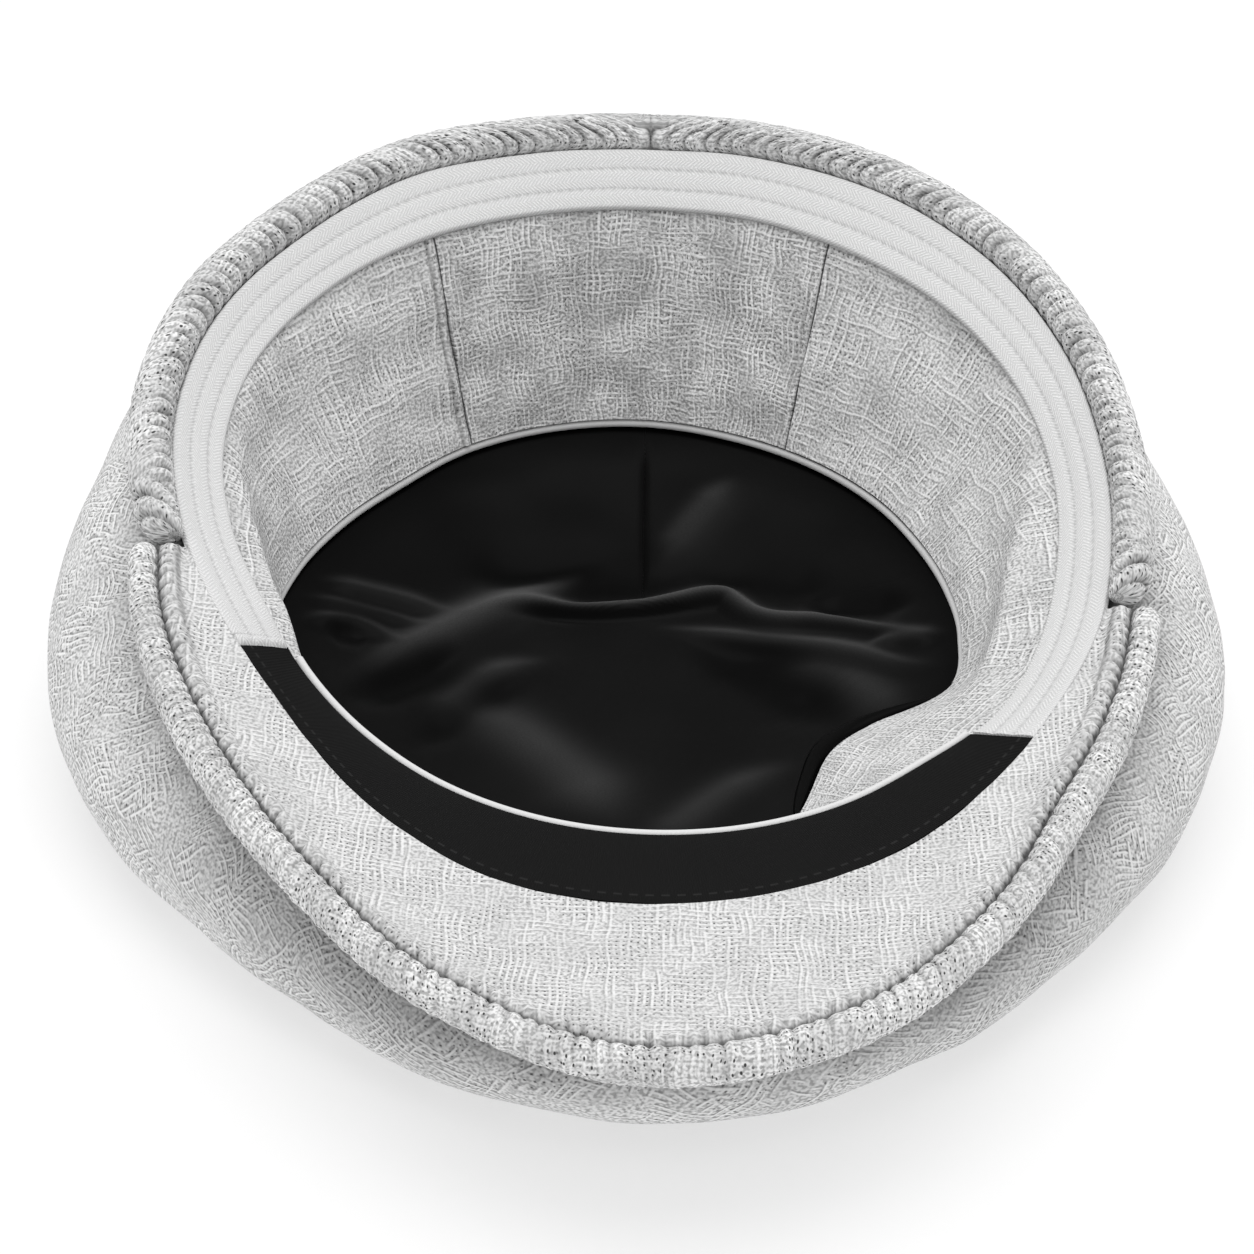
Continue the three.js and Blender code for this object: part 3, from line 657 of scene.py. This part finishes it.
def crown_side():
    azimuth = np.linspace(90, 450, 861)[:-1]
    end = seam_stage(azimuth, CROWN["seam"])
    profile = crown_profile(azimuth, np.linspace(0, 1, 240)[None, :] * end[:, None])
    lip = rz(rim_radius(azimuth) + 0.2, profile[:, 0, 1] - 0.1)[:, None]
    front = rounded(end_to_end(lip, profile), 78, 0.7)
    skin = polar(azimuth, front)
    down = lengths(front)
    to_seam = down[:, -1:] - down
    around = np.radians(azimuth)[:, None] * CROWN["girth_radius"]
    # Broad dents, puckers below the rim, larger gathers below the peak, and the seam to the top panel.
    dents = 0.7 * noise(skin, 26, 3) + 0.3 * noise(skin, 11, 4)
    puckers = np.exp(-down / 5) * wandering_creases(around, 4.2, 5) * (0.7 + 0.5 * noise(skin, 15, 6))
    front_gathers = smoothstep(-sine(azimuth), 0.1, 0.5)[:, None] * np.exp(-down / 9)
    gathers = front_gathers * wandering_creases(around + 0.4 * down, 8.5, 7, 1.0)
    relief = dents - 0.45 * puckers - 1.3 * gathers - 0.5 * bell(to_seam, 1.1)
    # Painted shade: a painted shadow just under the peak, painted shade low on the front and in the gathers,
    # and a dark seam line.
    under_peak = smoothstep(-sine(azimuth), -0.1, 0.25)[:, None] * np.exp(-down / 7)
    painted_low_front_shade = bell(azimuth - 270, 48)[:, None] * (1 - smoothstep(down, 25, 47))
    shade = 1.5 * under_peak + 0.75 * painted_low_front_shade + 0.35 * gathers + 0.5 * bell(to_seam, 0.8)
    piece = wall("crown_side_cloth", azimuth, front, -CROWN["thickness"], relief, True,
                 reference=CROWN["girth_radius"], shade=clamp(shade))
    show(piece, CROWN_TWEED, "crown_side")


def crown_top():
    azimuth = np.linspace(90, 450, 481)[:-1]
    start = seam_stage(azimuth, CROWN["seam"] - GAP * 1.5)
    share = np.linspace(0, 1, 120)[None, :]
    edge = resample(crown_profile(azimuth, lerp(start[:, None], 1.999, share)), 22)
    thick = CROWN["thickness"]
    inner = offset(edge, -thick)
    foot = foot_radius(azimuth)
    disc = [rz(foot * s, 0) for s in (0.9, 0.7, 0.45, 0.2, 0.01)]
    roof = [rz(foot * s, thick) for s in (0.01, 0.45, 0.92)]
    path = end_to_end(edge, stack_path(*disc), stack_path(*roof), inner[:, ::-4])
    path[..., 1] = np.maximum(path[..., 1], 0)
    path[..., 0] -= 0.5 * bell(lengths(path), 1.1)
    grid = polar(azimuth, path)
    show(grid_mesh("crown_top_cloth", grid, around=True), CROWN_TWEED, "crown_top")


crown_side()
crown_top()

# ---- roll round the back of the rim


def circle(count):
    """Angles of that many points round a cord."""
    return np.linspace(0, 2 * math.pi, count + 1)[:-1][None, :]


def roll_half(node, start, end, seed):
    """Half of the gathered roll, from the seam at the back to its twisted end beside the peak."""
    azimuth = span(start, end, 0.42, 106)
    rim = rim_radius(azimuth)
    along = np.abs(arc_length(azimuth, rim + 4))[:, None]
    done = along / along[-1]
    to_end = along[-1] - along
    radius = (ROLL["radius"] + ROLL["fuller"] + ROLL["left_fuller"] * bell(azimuth - 160, 40))[:, None]
    to_knot = clamp(1 - (1 - to_end / ROLL["knot"]) ** 2 * 0.9)
    closing = np.where(to_end < ROLL["knot"], np.sqrt(to_knot), 1)
    twisted = 1 - smoothstep(to_end, 6, 16)
    angle = circle(60)
    x, y = radius * np.cos(angle), radius * np.sin(angle)
    # Creases run outwards and away from the back seam. The ends are twisted into a few strands.
    slant = ROLL["slant"] * smoothstep(done, 0, 0.02) * (1 - smoothstep(done, 0.1, 0.5)) + 0.3
    lean = slant * (x + radius) * 1.7
    phase = (along - lean) / ROLL["pitch"] + 0.45 * noise(together(along, 0, 0), 8, seed)
    strands = (to_end - 0.6 * (x + radius)) / 5.2 + 0.3
    crease = lerp(creases(phase, 1.7), creases(strands, 1.5), twisted)
    second = creases(2.3 * phase + 0.9 / math.pi, 2) * (1 - twisted)
    own = 0.75 + 0.8 * noise(together(np.round(phase), 0, 0), 2.3, seed + 1)
    inward = bell(np.degrees(angle) - 140, 48)
    at_seam = np.exp(-along / 1.2)
    deep = lerp(0.03 + 0.07 * done, 0.42, np.maximum(inward, 1.1 * twisted)) * own * crease
    deep = deep + 0.08 * inward * second
    size = closing * (1 - deep - 0.12 * at_seam * inward)
    centre_r = rim[:, None] + radius - 0.1 - 0.7 * radius * (1 - closing)
    centre_z = rim_height(azimuth, rim)[:, None] + ROLL["rise"] - ROLL["sink"]
    grid = polar(azimuth, rz(centre_r + x * size, centre_z + y * size))
    grid += 0.12 * noise(grid, 3.0, seed + 2)[..., None] * normals(grid, closed=True)
    # Painted shade in the creases and strands and along the roll's lower inner side beside the tape; darker
    # at the back seam.
    dark = lerp(0.2, 1, np.maximum(inward, twisted)) * (1.05 * own * crease ** 1.3 + 0.35 * second ** 2)
    shade = dark + 0.45 * at_seam + 0.8 * bell(np.degrees(angle) - 215, 16)
    uv = together(along - lean, angle * ROLL["radius"])
    show(grid_mesh(node + "_gathers", grid, uv, crease=80, shade=clamp(shade)), ROLL_TWEED, node)


roll_half("rim_roll_right", 90, PEAK["right"] + 0.4, 11)
roll_half("rim_roll_left", 90, PEAK["left"] - 0.4, 21)

# ---- peak


def fingertip(distance, radius):
    """How much of its radius a round end has at a distance from the tip."""
    return np.sqrt(np.clip(1 - clamp(1 - distance / radius) ** 2, 0.01, 1))


def peak_section(azimuth, share, from_end, ends):
    """The peak's section in four stretches: its flat cloth, the ridge, the rolled edge and the underside."""
    rim = rim_radius(azimuth)
    rim_z = rim_height(azimuth, rim)
    edge_z = rim_z + PEAK["lift"] * np.sin(math.pi * share)
    full = lerp(PEAK["roll"], PEAK["end_roll"], ends)
    r = full * fingertip(from_end, 3.6)
    centre_r = peak_edge(azimuth) - full
    root = rim + GAP * 0.3
    groove = centre_r - 0.98 * full
    flat = groove - np.minimum(lerp(4.0, 4.4, ends), 0.72 * (groove - root))
    flat_z = edge_z + 0.7 * smoothstep(from_end, 0, 4)
    tall = lerp(1.5, 2.3, ends) * fingertip(from_end - 0.8, 2.6)
    cloth = [rz(lerp(root, flat, t), lerp(rim_z, flat_z, t) - 0.6 * math.sin(math.pi * t))
             for t in np.linspace(0, 1, 5)]
    ridge = [rz(lerp(flat, groove, t), flat_z + tall * math.sin(math.pi * t) ** 0.7)
             for t in np.linspace(0, 1, 19)[1:]]
    roll = [rz(centre_r + r * cosine(b), edge_z + r * sine(b)) for b in np.linspace(168, -95, 54)]
    under = [rz(centre_r + r * cosine(-95), edge_z - r),
             rz(lerp(root, centre_r, 0.5), lerp(rim_z, edge_z, 0.5) - PEAK["thickness"]),
             rz(root, rim_z - PEAK["thickness"])]
    return (rounded(stack_path(*cloth), 48, 1.2), stack_path(*ridge), stack_path(*roll),
            resample(stack_path(*under), 8)[:, 1:])


def peak():
    left, right = PEAK["left"], PEAK["right"] + 360
    tip = np.linspace(0, 1, 14) ** 1.6 * 3
    azimuth = np.concatenate([left + tip, span(left + 3, right - 3, 0.8, 120)[1:-1], right - tip[::-1]])
    share = (azimuth - left) / (right - left)
    from_end = np.radians(np.minimum(azimuth - left, right - azimuth)) * PEAK["end_reach"]
    ends = smoothstep(np.abs(share - 0.5), 0.28, 0.47)
    parts = peak_section(azimuth, share, from_end, ends)
    first_ridge, first_roll, last_roll = np.cumsum([part.shape[1] for part in parts[:3]])
    path = end_to_end(*parts)
    grid = polar(azimuth, path)
    n = normals(grid, closed=True)
    n *= np.sign(n[..., 2][:, :40].mean())
    column = np.arange(grid.shape[1])[None, :]
    on_roll = (column >= first_roll) & (column < last_roll)
    around = clamp((column - first_roll) / (last_roll - first_roll))
    along = arc_length(azimuth, peak_edge(azimuth))[:, None]
    wide = smoothstep(from_end, 1.5, 6)[:, None]
    # Folds across the rolled edge, each with its own depth, and beads along the ridge.
    fold = wandering_creases(along + 2.5 * around * noise(grid, 30, 38), 3.3, 31, 1.4)
    strong = np.exp(-around / 0.33) + 0.25
    own = 0.75 + 1.0 * noise(together(along / 3.7, 0, 0), 1.7, 36)
    rising = np.sin(math.pi * clamp(around * 1.1)) ** 0.4
    on_ridge = bell(column - lerp(first_ridge, first_roll, 0.6), 9) * (column < first_roll)
    bead = wandering_creases(along + 1.2, 3.1, 33, 1.3)
    relief = -1.3 * wide * on_roll * strong * rising * fold * own - 0.9 * wide * on_ridge * bead
    relief = relief + (column < first_ridge) * (0.35 * noise(grid, 22, 34) + 0.15 * noise(grid, 7, 35))
    relief = relief + 0.22 * wide * (column >= first_ridge) * noise(grid, 2.8, 37)
    grid = grid + n * relief[..., None]
    # Painted shade in the folds of the rolled edge, between the beads, in the groove before the roll and,
    # near the ends, where the ridge rises from the flat.
    creased = wide * (on_roll * strong * 0.8 * fold ** 1.5 + on_ridge * 0.7 * bead ** 1.6)
    shade = clamp(0.85 * bell(column - first_roll + 0.5, 2.6) + creased)
    shade = np.maximum(shade, 0.5 * bell(column - first_ridge, 3.0) * ends[:, None])
    uv = np.where((column >= first_roll)[..., None], together(along, lengths(path)), grid[..., :2])
    piece = grid_mesh("peak_cloth", grid, uv, crease=80, shade=shade)
    show(piece, PEAK_TWEED, "peak")
    piece.data.materials.append(ROLL_TWEED)
    columns = grid.shape[1]
    quad_column = np.arange((len(grid) - 1) * columns) % columns
    which = np.zeros(len(piece.data.polygons), np.int32)
    which[:len(quad_column)] = (quad_column >= first_roll) & (quad_column < last_roll)
    piece.data.polygons.foreach_set("material_index", which)


peak()

# ---- tape, sweatband and piping


def outer_edge(azimuth):
    rim = rim_radius(azimuth)
    return rz(rim - 0.05, rim_height(azimuth, rim))


def inner_edge(azimuth):
    inner = inner_radius(azimuth)
    return rz(inner, rim_height(azimuth, inner) - TAPE["drop"])


def tape():
    azimuth = span(TAPE["right"], TAPE["left"], 0.5, 100)
    inner, outer = inner_edge(azimuth), outer_edge(azimuth)
    width = np.linalg.norm(outer - inner, axis=1)
    share = np.linspace(0, 1, 60)
    # Flat ribs between rows of stitching, and a rolled inner edge.
    rib = 0.35 * np.abs(np.sin(TAPE["ribs"] * math.pi * share)) ** 0.35 - 0.6 * bell(share, 0.025)
    top = [beside(inner, outer, s * width, -proud) for s, proud in zip(share, rib)]
    under = [beside(inner, outer, s * width, TAPE["thickness"]) for s in (1, 0.5, 0)]
    path = stack_path(*top, *under)
    # The left end is a thicker hem with a round edge, cut back towards the tape's inner edge.
    from_end = np.radians(TAPE["left"] - azimuth)[:, None] * 84
    hem = 0.7 * smoothstep(from_end, 0, 0.8) * (1 - smoothstep(from_end, 2.0, 3.0))
    hem = hem - 0.9 * (1 - fingertip(from_end, 1.0))
    across = np.concatenate([share, [1, 0.5, 0]])[None, :]
    near_end = smoothstep(azimuth, TAPE["left"] - 9, TAPE["left"])[:, None]
    grid = polar(azimuth[:, None] - TAPE["skew"] * (1 - across) * near_end, path)
    on_top = grid[:, :len(share)]
    on_top[..., 2] += 0.15 * noise(on_top, 14, 41) + hem
    along = arc_length(azimuth, (rim_radius(azimuth) + inner_radius(azimuth)) / 2)[:, None]
    from_seam = np.abs((share * TAPE["ribs"] + 0.5) % 1 - 0.5) / TAPE["ribs"] * 9.5
    row = bell(from_seam, 0.28) * (np.abs(share - 0.5) < 0.4) + 0.5 * np.exp(-share / 0.02)
    stitched = 0.14 + 0.22 * (np.sin(2 * math.pi * along / 2.4) > 0)
    shade = np.concatenate([row, [0, 0, 0]])[None, :] * stitched
    # A painted shadow line lies along the hem, where the dashes of the stitches stop.
    shade = clamp(shade * (from_end > 2.5) + 0.75 * bell(from_end - 2.7, 0.4))
    piece = grid_mesh("rim_tape_herringbone", grid, together(along, lengths(path)), shade=shade)
    show(piece, TAPE_CLOTH, "rim_tape")


def front_span(radius):
    """Azimuths of the sweatband, between the tape's ends."""
    return span(TAPE["left"] + 0.2, TAPE["right"] + 360 - 0.2, 0.8, radius)


def band():
    azimuth = front_span(90)
    front = resample(stack_path(inner_edge(azimuth), outer_edge(azimuth)), 20)
    from_outer = lengths(front) - lengths(front)[:, -1:]
    uv = together(np.radians(azimuth)[:, None] * 88, from_outer)
    share = np.linspace(0, 1, 20)[None, :]
    near_start = 1 - smoothstep(azimuth, azimuth[0], azimuth[0] + 9)[:, None]
    azimuth = azimuth[:, None] - BAND["skew"] * (1 - share) * near_start
    piece = wall("sweatband_ribbed", azimuth, front, -BAND["thickness"], uv=uv)
    show(piece, BLACK_BAND, "sweatband_front")


def cord(name, azimuth, centre, radius):
    """A round cord along the centre, which is a point of (radius, height) for each azimuth."""
    angle = circle(16)
    grid = polar(azimuth, centre[:, None] + rz(radius * np.cos(angle), radius * np.sin(angle)))
    along = arc_length(azimuth, centre[:, 0])[:, None]
    return grid_mesh(name, grid, together(along, angle * radius))


def piping():
    azimuth = front_span(80)
    inner = inner_edge(azimuth)
    centre = inner - rz(GAP + BAND["piping"], BAND["thickness"] / 2)
    piece = cord("sweatband_piping_cord", azimuth, centre, BAND["piping"] + 0.15)
    show(piece, PIPING_CLOTH, "sweatband_piping")


tape()
band()
piping()

# ---- flaps folded inside


def flap_face(azimuth):
    """The flaps' visible face, from their free edge over the fold and in under the tape."""
    inner, outer = inner_edge(azimuth), outer_edge(azimuth)
    under = TAPE["thickness"] + GAP
    narrowing = 1 - 0.8 * smoothstep(azimuth, 204, 211)
    fold = rz(inner[:, 0] - fold_in(azimuth) * narrowing, inner[:, 1] - fold_drop(azimuth))
    edge = rz(flap_edge(azimuth), flap_edge_z(azimuth) + BINDING["radius"] + GAP)
    # Past the binding the left flap's free edge comes up to its fold in a round corner.
    corner = smoothstep(azimuth, BINDING["left"] + 0.5, BINDING["left"] + 8)[:, None] ** 1.5
    edge = lerp(edge, fold, 0.8 * corner)
    middle = lerp(fold, edge, 0.5) + np.array([0.6, 0])
    return stack_path(edge, middle, fold, beside(inner, outer, 0, under),
                      beside(inner, outer, FLAP["tuck"], under))


def flap(node, start, end, material, seed, seams=()):
    """One panel of the flaps. Each seam is a line at an azimuth, with a ridge beside it that stands proud."""
    azimuth = span(start, end, 0.8, 85)
    for at, _ in seams:
        azimuth = np.unique(np.concatenate([azimuth, np.clip(at + np.linspace(-2, 2, 31), start, end)]))
    front = rounded(flap_face(azimuth), 78, 1.6)
    down = lengths(front)
    across = together(np.radians(azimuth)[:, None] * 34, 0, down)
    relief = 1.3 * noise(across, 15, seed) + 0.4 * noise(polar(azimuth, front), 9, seed + 1)
    relief = relief * smoothstep(down, 0, 7) * (1 - smoothstep(down, 40, 46))
    shade = 0 * down
    for at, proud in seams:
        off = np.abs(np.radians(azimuth - at))[:, None] * front[..., 0]
        # Painted shade in the groove beside the seam, deeper beside a proud ridge, and a dark line at the
        # seam itself.
        line = bell(off - 1.9, 0.3)
        relief = relief + proud * bell(off - 0.95, 0.6) - 0.3 * line
        shade = shade + (0.25 + proud / 2) * line + 0.6 * bell(off, 0.3)
    piece = wall(node + "_cloth", azimuth, front, -FLAP["thickness"], relief, reference=90,
                 shade=clamp(shade))
    show(piece, material, node)


def binding():
    azimuth = span(BINDING["right"], BINDING["left"], 0.7, 76)
    face = flap_face(azimuth)
    centre = beside(face[:, 0], face[:, 1], -(GAP + BINDING["radius"]), FLAP["thickness"] / 2)
    show(cord("flap_binding_tape", azimuth, centre, BINDING["radius"]), BINDING_CLOTH, "flap_binding")


def facing():
    """The black facing under the right lobe, which stands proud of the lobe's edge and curls up."""
    azimuth = span(FACING["right"], FACING["left"], 0.8, 60)
    face = flap_face(azimuth)
    under = FLAP["thickness"] + GAP
    hem = beside(face[:, 0], face[:, 1], 0, under)
    tucked = 0.7 * np.linalg.norm(face[:, 1] - face[:, 0], axis=1)
    from_end = np.radians(np.minimum(azimuth - azimuth[0], azimuth[-1] - azimuth)) * 60
    wide = FACING["proud"] * fingertip(from_end, 8)
    path = stack_path(hem + rz(-wide, 0.6), hem + rz(-0.9 * wide, 1.9), hem + rz(-0.45 * wide, 1.9), hem,
                      beside(face[:, 0], face[:, 1], tucked, under))
    piece = wall("ear_flap_facing_satin", azimuth, rounded(path, 40, 0.5), -FACING["thickness"], reference=60)
    show(piece, SATIN, "ear_flap_facing")


def flaps():
    half_gap = 0.12
    right, neck = FLAP["seam_right"] - half_gap, FLAP["seam_right"] + half_gap
    nape, left = FLAP["seam_left"] - half_gap, FLAP["seam_left"] + half_gap
    flap("ear_flap_right", FLAP["right"], right, SIDE_TWEED, 51)
    flap("neck_flap", neck, nape, FLAP_TWEED, 53, [(neck, 0)])
    flap("ear_flap_left", left, FLAP["left"], SIDE_TWEED, 55, [(left, 0.55)])


flaps()
binding()
facing()

# ---- lining


def eased(points):
    """The line with its corners cut off three times."""
    for _ in range(3):
        near, far = lerp(points[:-1], points[1:], 0.25), lerp(points[:-1], points[1:], 0.75)
        inside = np.stack([near, far], 1).reshape(-1, 2)
        points = np.concatenate([points[:1], inside[1:-1], points[-1:]])
    return points


def fold_height(x, y):
    """How far the satin's folds lift it at each place in plan."""
    total = np.zeros_like(x)
    for height, width, points in SATIN_FOLDS:
        points = eased(np.array(points, float))
        steps = np.linalg.norm(np.diff(points, axis=0), axis=1)
        reached = travelled(steps)
        best = np.full(x.shape, 1e9)
        place = np.zeros_like(x)
        for k, (a, b) in enumerate(zip(points[:-1], points[1:])):
            t = clamp(((x - a[0]) * (b[0] - a[0]) + (y - a[1]) * (b[1] - a[1])) / steps[k]**2)
            d = np.hypot(x - lerp(a[0], b[0], t), y - lerp(a[1], b[1], t))
            place = np.where(d < best, (reached[k] + t * steps[k]) / reached[-1], place)
            best = np.minimum(best, d)
        taper = smoothstep(place, 0, 0.32) * (1 - smoothstep(place, 0.66, 1)) + 0.05
        total += height * taper * bell(best, width * (0.6 + 0.4 * taper))
    return total


def sheen(x, y, height, fade):
    """How light the satin looks: on top of its folds, and on the slopes that face the front."""
    # Painted highlight on the satin's folds, stored in the mesh and used as its colour.
    step = 0.4
    rise = (fold_height(x, y + step) - fold_height(x, y - step)) / (2 * step)
    painted_sheen = -0.07 + 0.21 * height + 0.85 * np.maximum(-rise, 0) - 0.4 * np.maximum(rise, 0)
    painted_sheen = clamp(np.log1p(np.exp(7 * painted_sheen)) / 7) ** 1.2 * (0.2 + 0.8 * fade)
    return painted_sheen * (1 - 0.45 * smoothstep(-x, 20, 60))


def lining_bag():
    """The whole lining, still in one piece."""
    azimuth = np.linspace(0, 360, 481)[:-1]
    rim = rim_radius(azimuth)
    rim_z = rim_height(azimuth, rim)
    bowl, bowl_z = bowl_radius(azimuth), bowl_height(azimuth)
    share = np.linspace(0.003, 1, 110)
    low = LINING["floor"]
    bottom = [rz(s * bowl, low + (bowl_z - low) * s ** LINING["power"]) for s in share]
    wall_r = bulge_radius(azimuth) - LINING["inset"]
    wall_z = CROWN["middle"] + CROWN["swing"] * sine(azimuth) + 1
    top_r = rim - LINING["rim_inset"]
    top_z = rim_z - lerp(2.2, 4.6, smoothstep(sine(azimuth), -0.6, -0.4))
    side = [rz(bowl, bowl_z), rz(wall_r, wall_z), rz(top_r, rim_z - LINING["top"]), rz(top_r, top_z)]
    front = end_to_end(stack_path(*bottom), rounded(stack_path(*side), 22, 2.5)[:, 1:])
    skin = polar(azimuth, front)
    fade = np.zeros(front.shape[1])
    fade[:len(share)] = 1 - smoothstep(share, 0.86, 1)
    x, y = skin[..., 0], skin[..., 1]
    height = (fold_height(x, y) + 0.35 * noise(skin, 17, 61)) * fade
    # Painted sheen on the folds.
    painted_sheen = sheen(x, y, height, fade)
    under = polar(azimuth, offset(front, -LINING["thickness"]))
    for layer in (skin, under):
        layer[..., 2] += height
    keep = np.arange(front.shape[1])[::-3]
    grid = end_to_end(skin, under[:, keep])
    grid[:, 0, :2] *= 0.5
    bag = grid_mesh("lining_bag", grid, around=True)
    store(bag.data, "PaintedSheen", end_to_end(painted_sheen, 0 * painted_sheen[:, keep]))
    return bag


def lining_panel(bag, node, planes):
    """The lining without what lies beyond each plane, which is a place in mm and a way out."""
    mesh = bmesh.new()
    mesh.from_mesh(bag.data)
    for place, away in planes:
        cut = bmesh.ops.bisect_plane(mesh, geom=mesh.verts[:] + mesh.edges[:] + mesh.faces[:], dist=1e-7,
                                     plane_co=Vector(np.array(place) * MM + ORIGIN), plane_no=Vector(away),
                                     clear_outer=True)
        edges = [e for e in cut["geom_cut"] if isinstance(e, bmesh.types.BMEdge)]
        filled = bmesh.ops.triangle_fill(mesh, edges=edges, use_beauty=False)
        for face in filled["geom"]:
            if isinstance(face, bmesh.types.BMFace):
                face.smooth = False
    data = bpy.data.meshes.new(node + "_satin")
    mesh.to_mesh(data)
    mesh.free()
    show(linked(node + "_satin", data), SATIN, node)


def lining():
    bag = lining_bag()
    seam, half = LINING["seam"], 0.01
    before, behind = ((0, seam - half, 0), (0, 1, 0)), ((0, seam + half, 0), (0, -1, 0))
    lining_panel(bag, "lining_front", [before])
    lining_panel(bag, "lining_back_left", [behind, ((-half, 0, 0), (1, 0, 0))])
    lining_panel(bag, "lining_back_right", [behind, ((half, 0, 0), (-1, 0, 0))])
    bpy.data.objects.remove(bag)


lining()

# ---- floor, light and camera


def floor():
    """A white floor that glows a little, so that only the cap's shadow shows on it."""
    bpy.ops.mesh.primitive_plane_add(size=6, location=(0, 0, -0.0002))
    plane = bpy.context.object
    plane.name = "floor"
    white = Shader("floor_white").finish(base_color=(0.5, 0.5, 0.5, 1), roughness=0.9, specular_ior_level=0.1,
                                         emission_color=(1, 1, 1, 1), emission_strength=0.5)
    plane.data.materials.append(white)


def area_light(name, place, aim, size, power):
    data = bpy.data.lights.new(name, "AREA")
    data.shape = "RECTANGLE"
    data.size, data.size_y = size
    data.energy = power
    place, aim = Vector(place), Vector(aim)
    turn = (aim - place).to_track_quat("-Z", "Y")
    linked(name, data).matrix_world = Matrix.LocRotScale(place, turn, None)


def camera():
    data = bpy.data.cameras.new("camera")
    data.lens, data.sensor_width = CAMERA["lens"], CAMERA["sensor"]
    data.shift_x, data.shift_y = CAMERA["shift"]
    camera = linked("camera", data)
    place = Vector(np.array(CAMERA["place"]) * MM + ORIGIN)
    tilt = Matrix.Rotation(math.radians(CAMERA["tilt"]), 4, "X")
    roll = Matrix.Rotation(math.radians(CAMERA["roll"]), 4, "Z")
    camera.matrix_world = Matrix.Translation(place) @ tilt @ roll
    bpy.context.scene.camera = camera


def world(strength):
    """White light from all around."""
    made = bpy.data.worlds.new("studio")
    made.use_nodes = True
    background = made.node_tree.nodes["Background"]
    background.inputs["Color"].default_value = (1, 1, 1, 1)
    background.inputs["Strength"].default_value = strength
    bpy.context.scene.world = made


floor()
world(0.81)
area_light("overhead", (0.0, 0.1, 1.2), (0, 0, 0.03), (1.2, 0.9), 6)
camera()
bpy.context.scene.view_settings.view_transform = "Standard"
bpy.context.scene.cycles.diffuse_bounces = 2
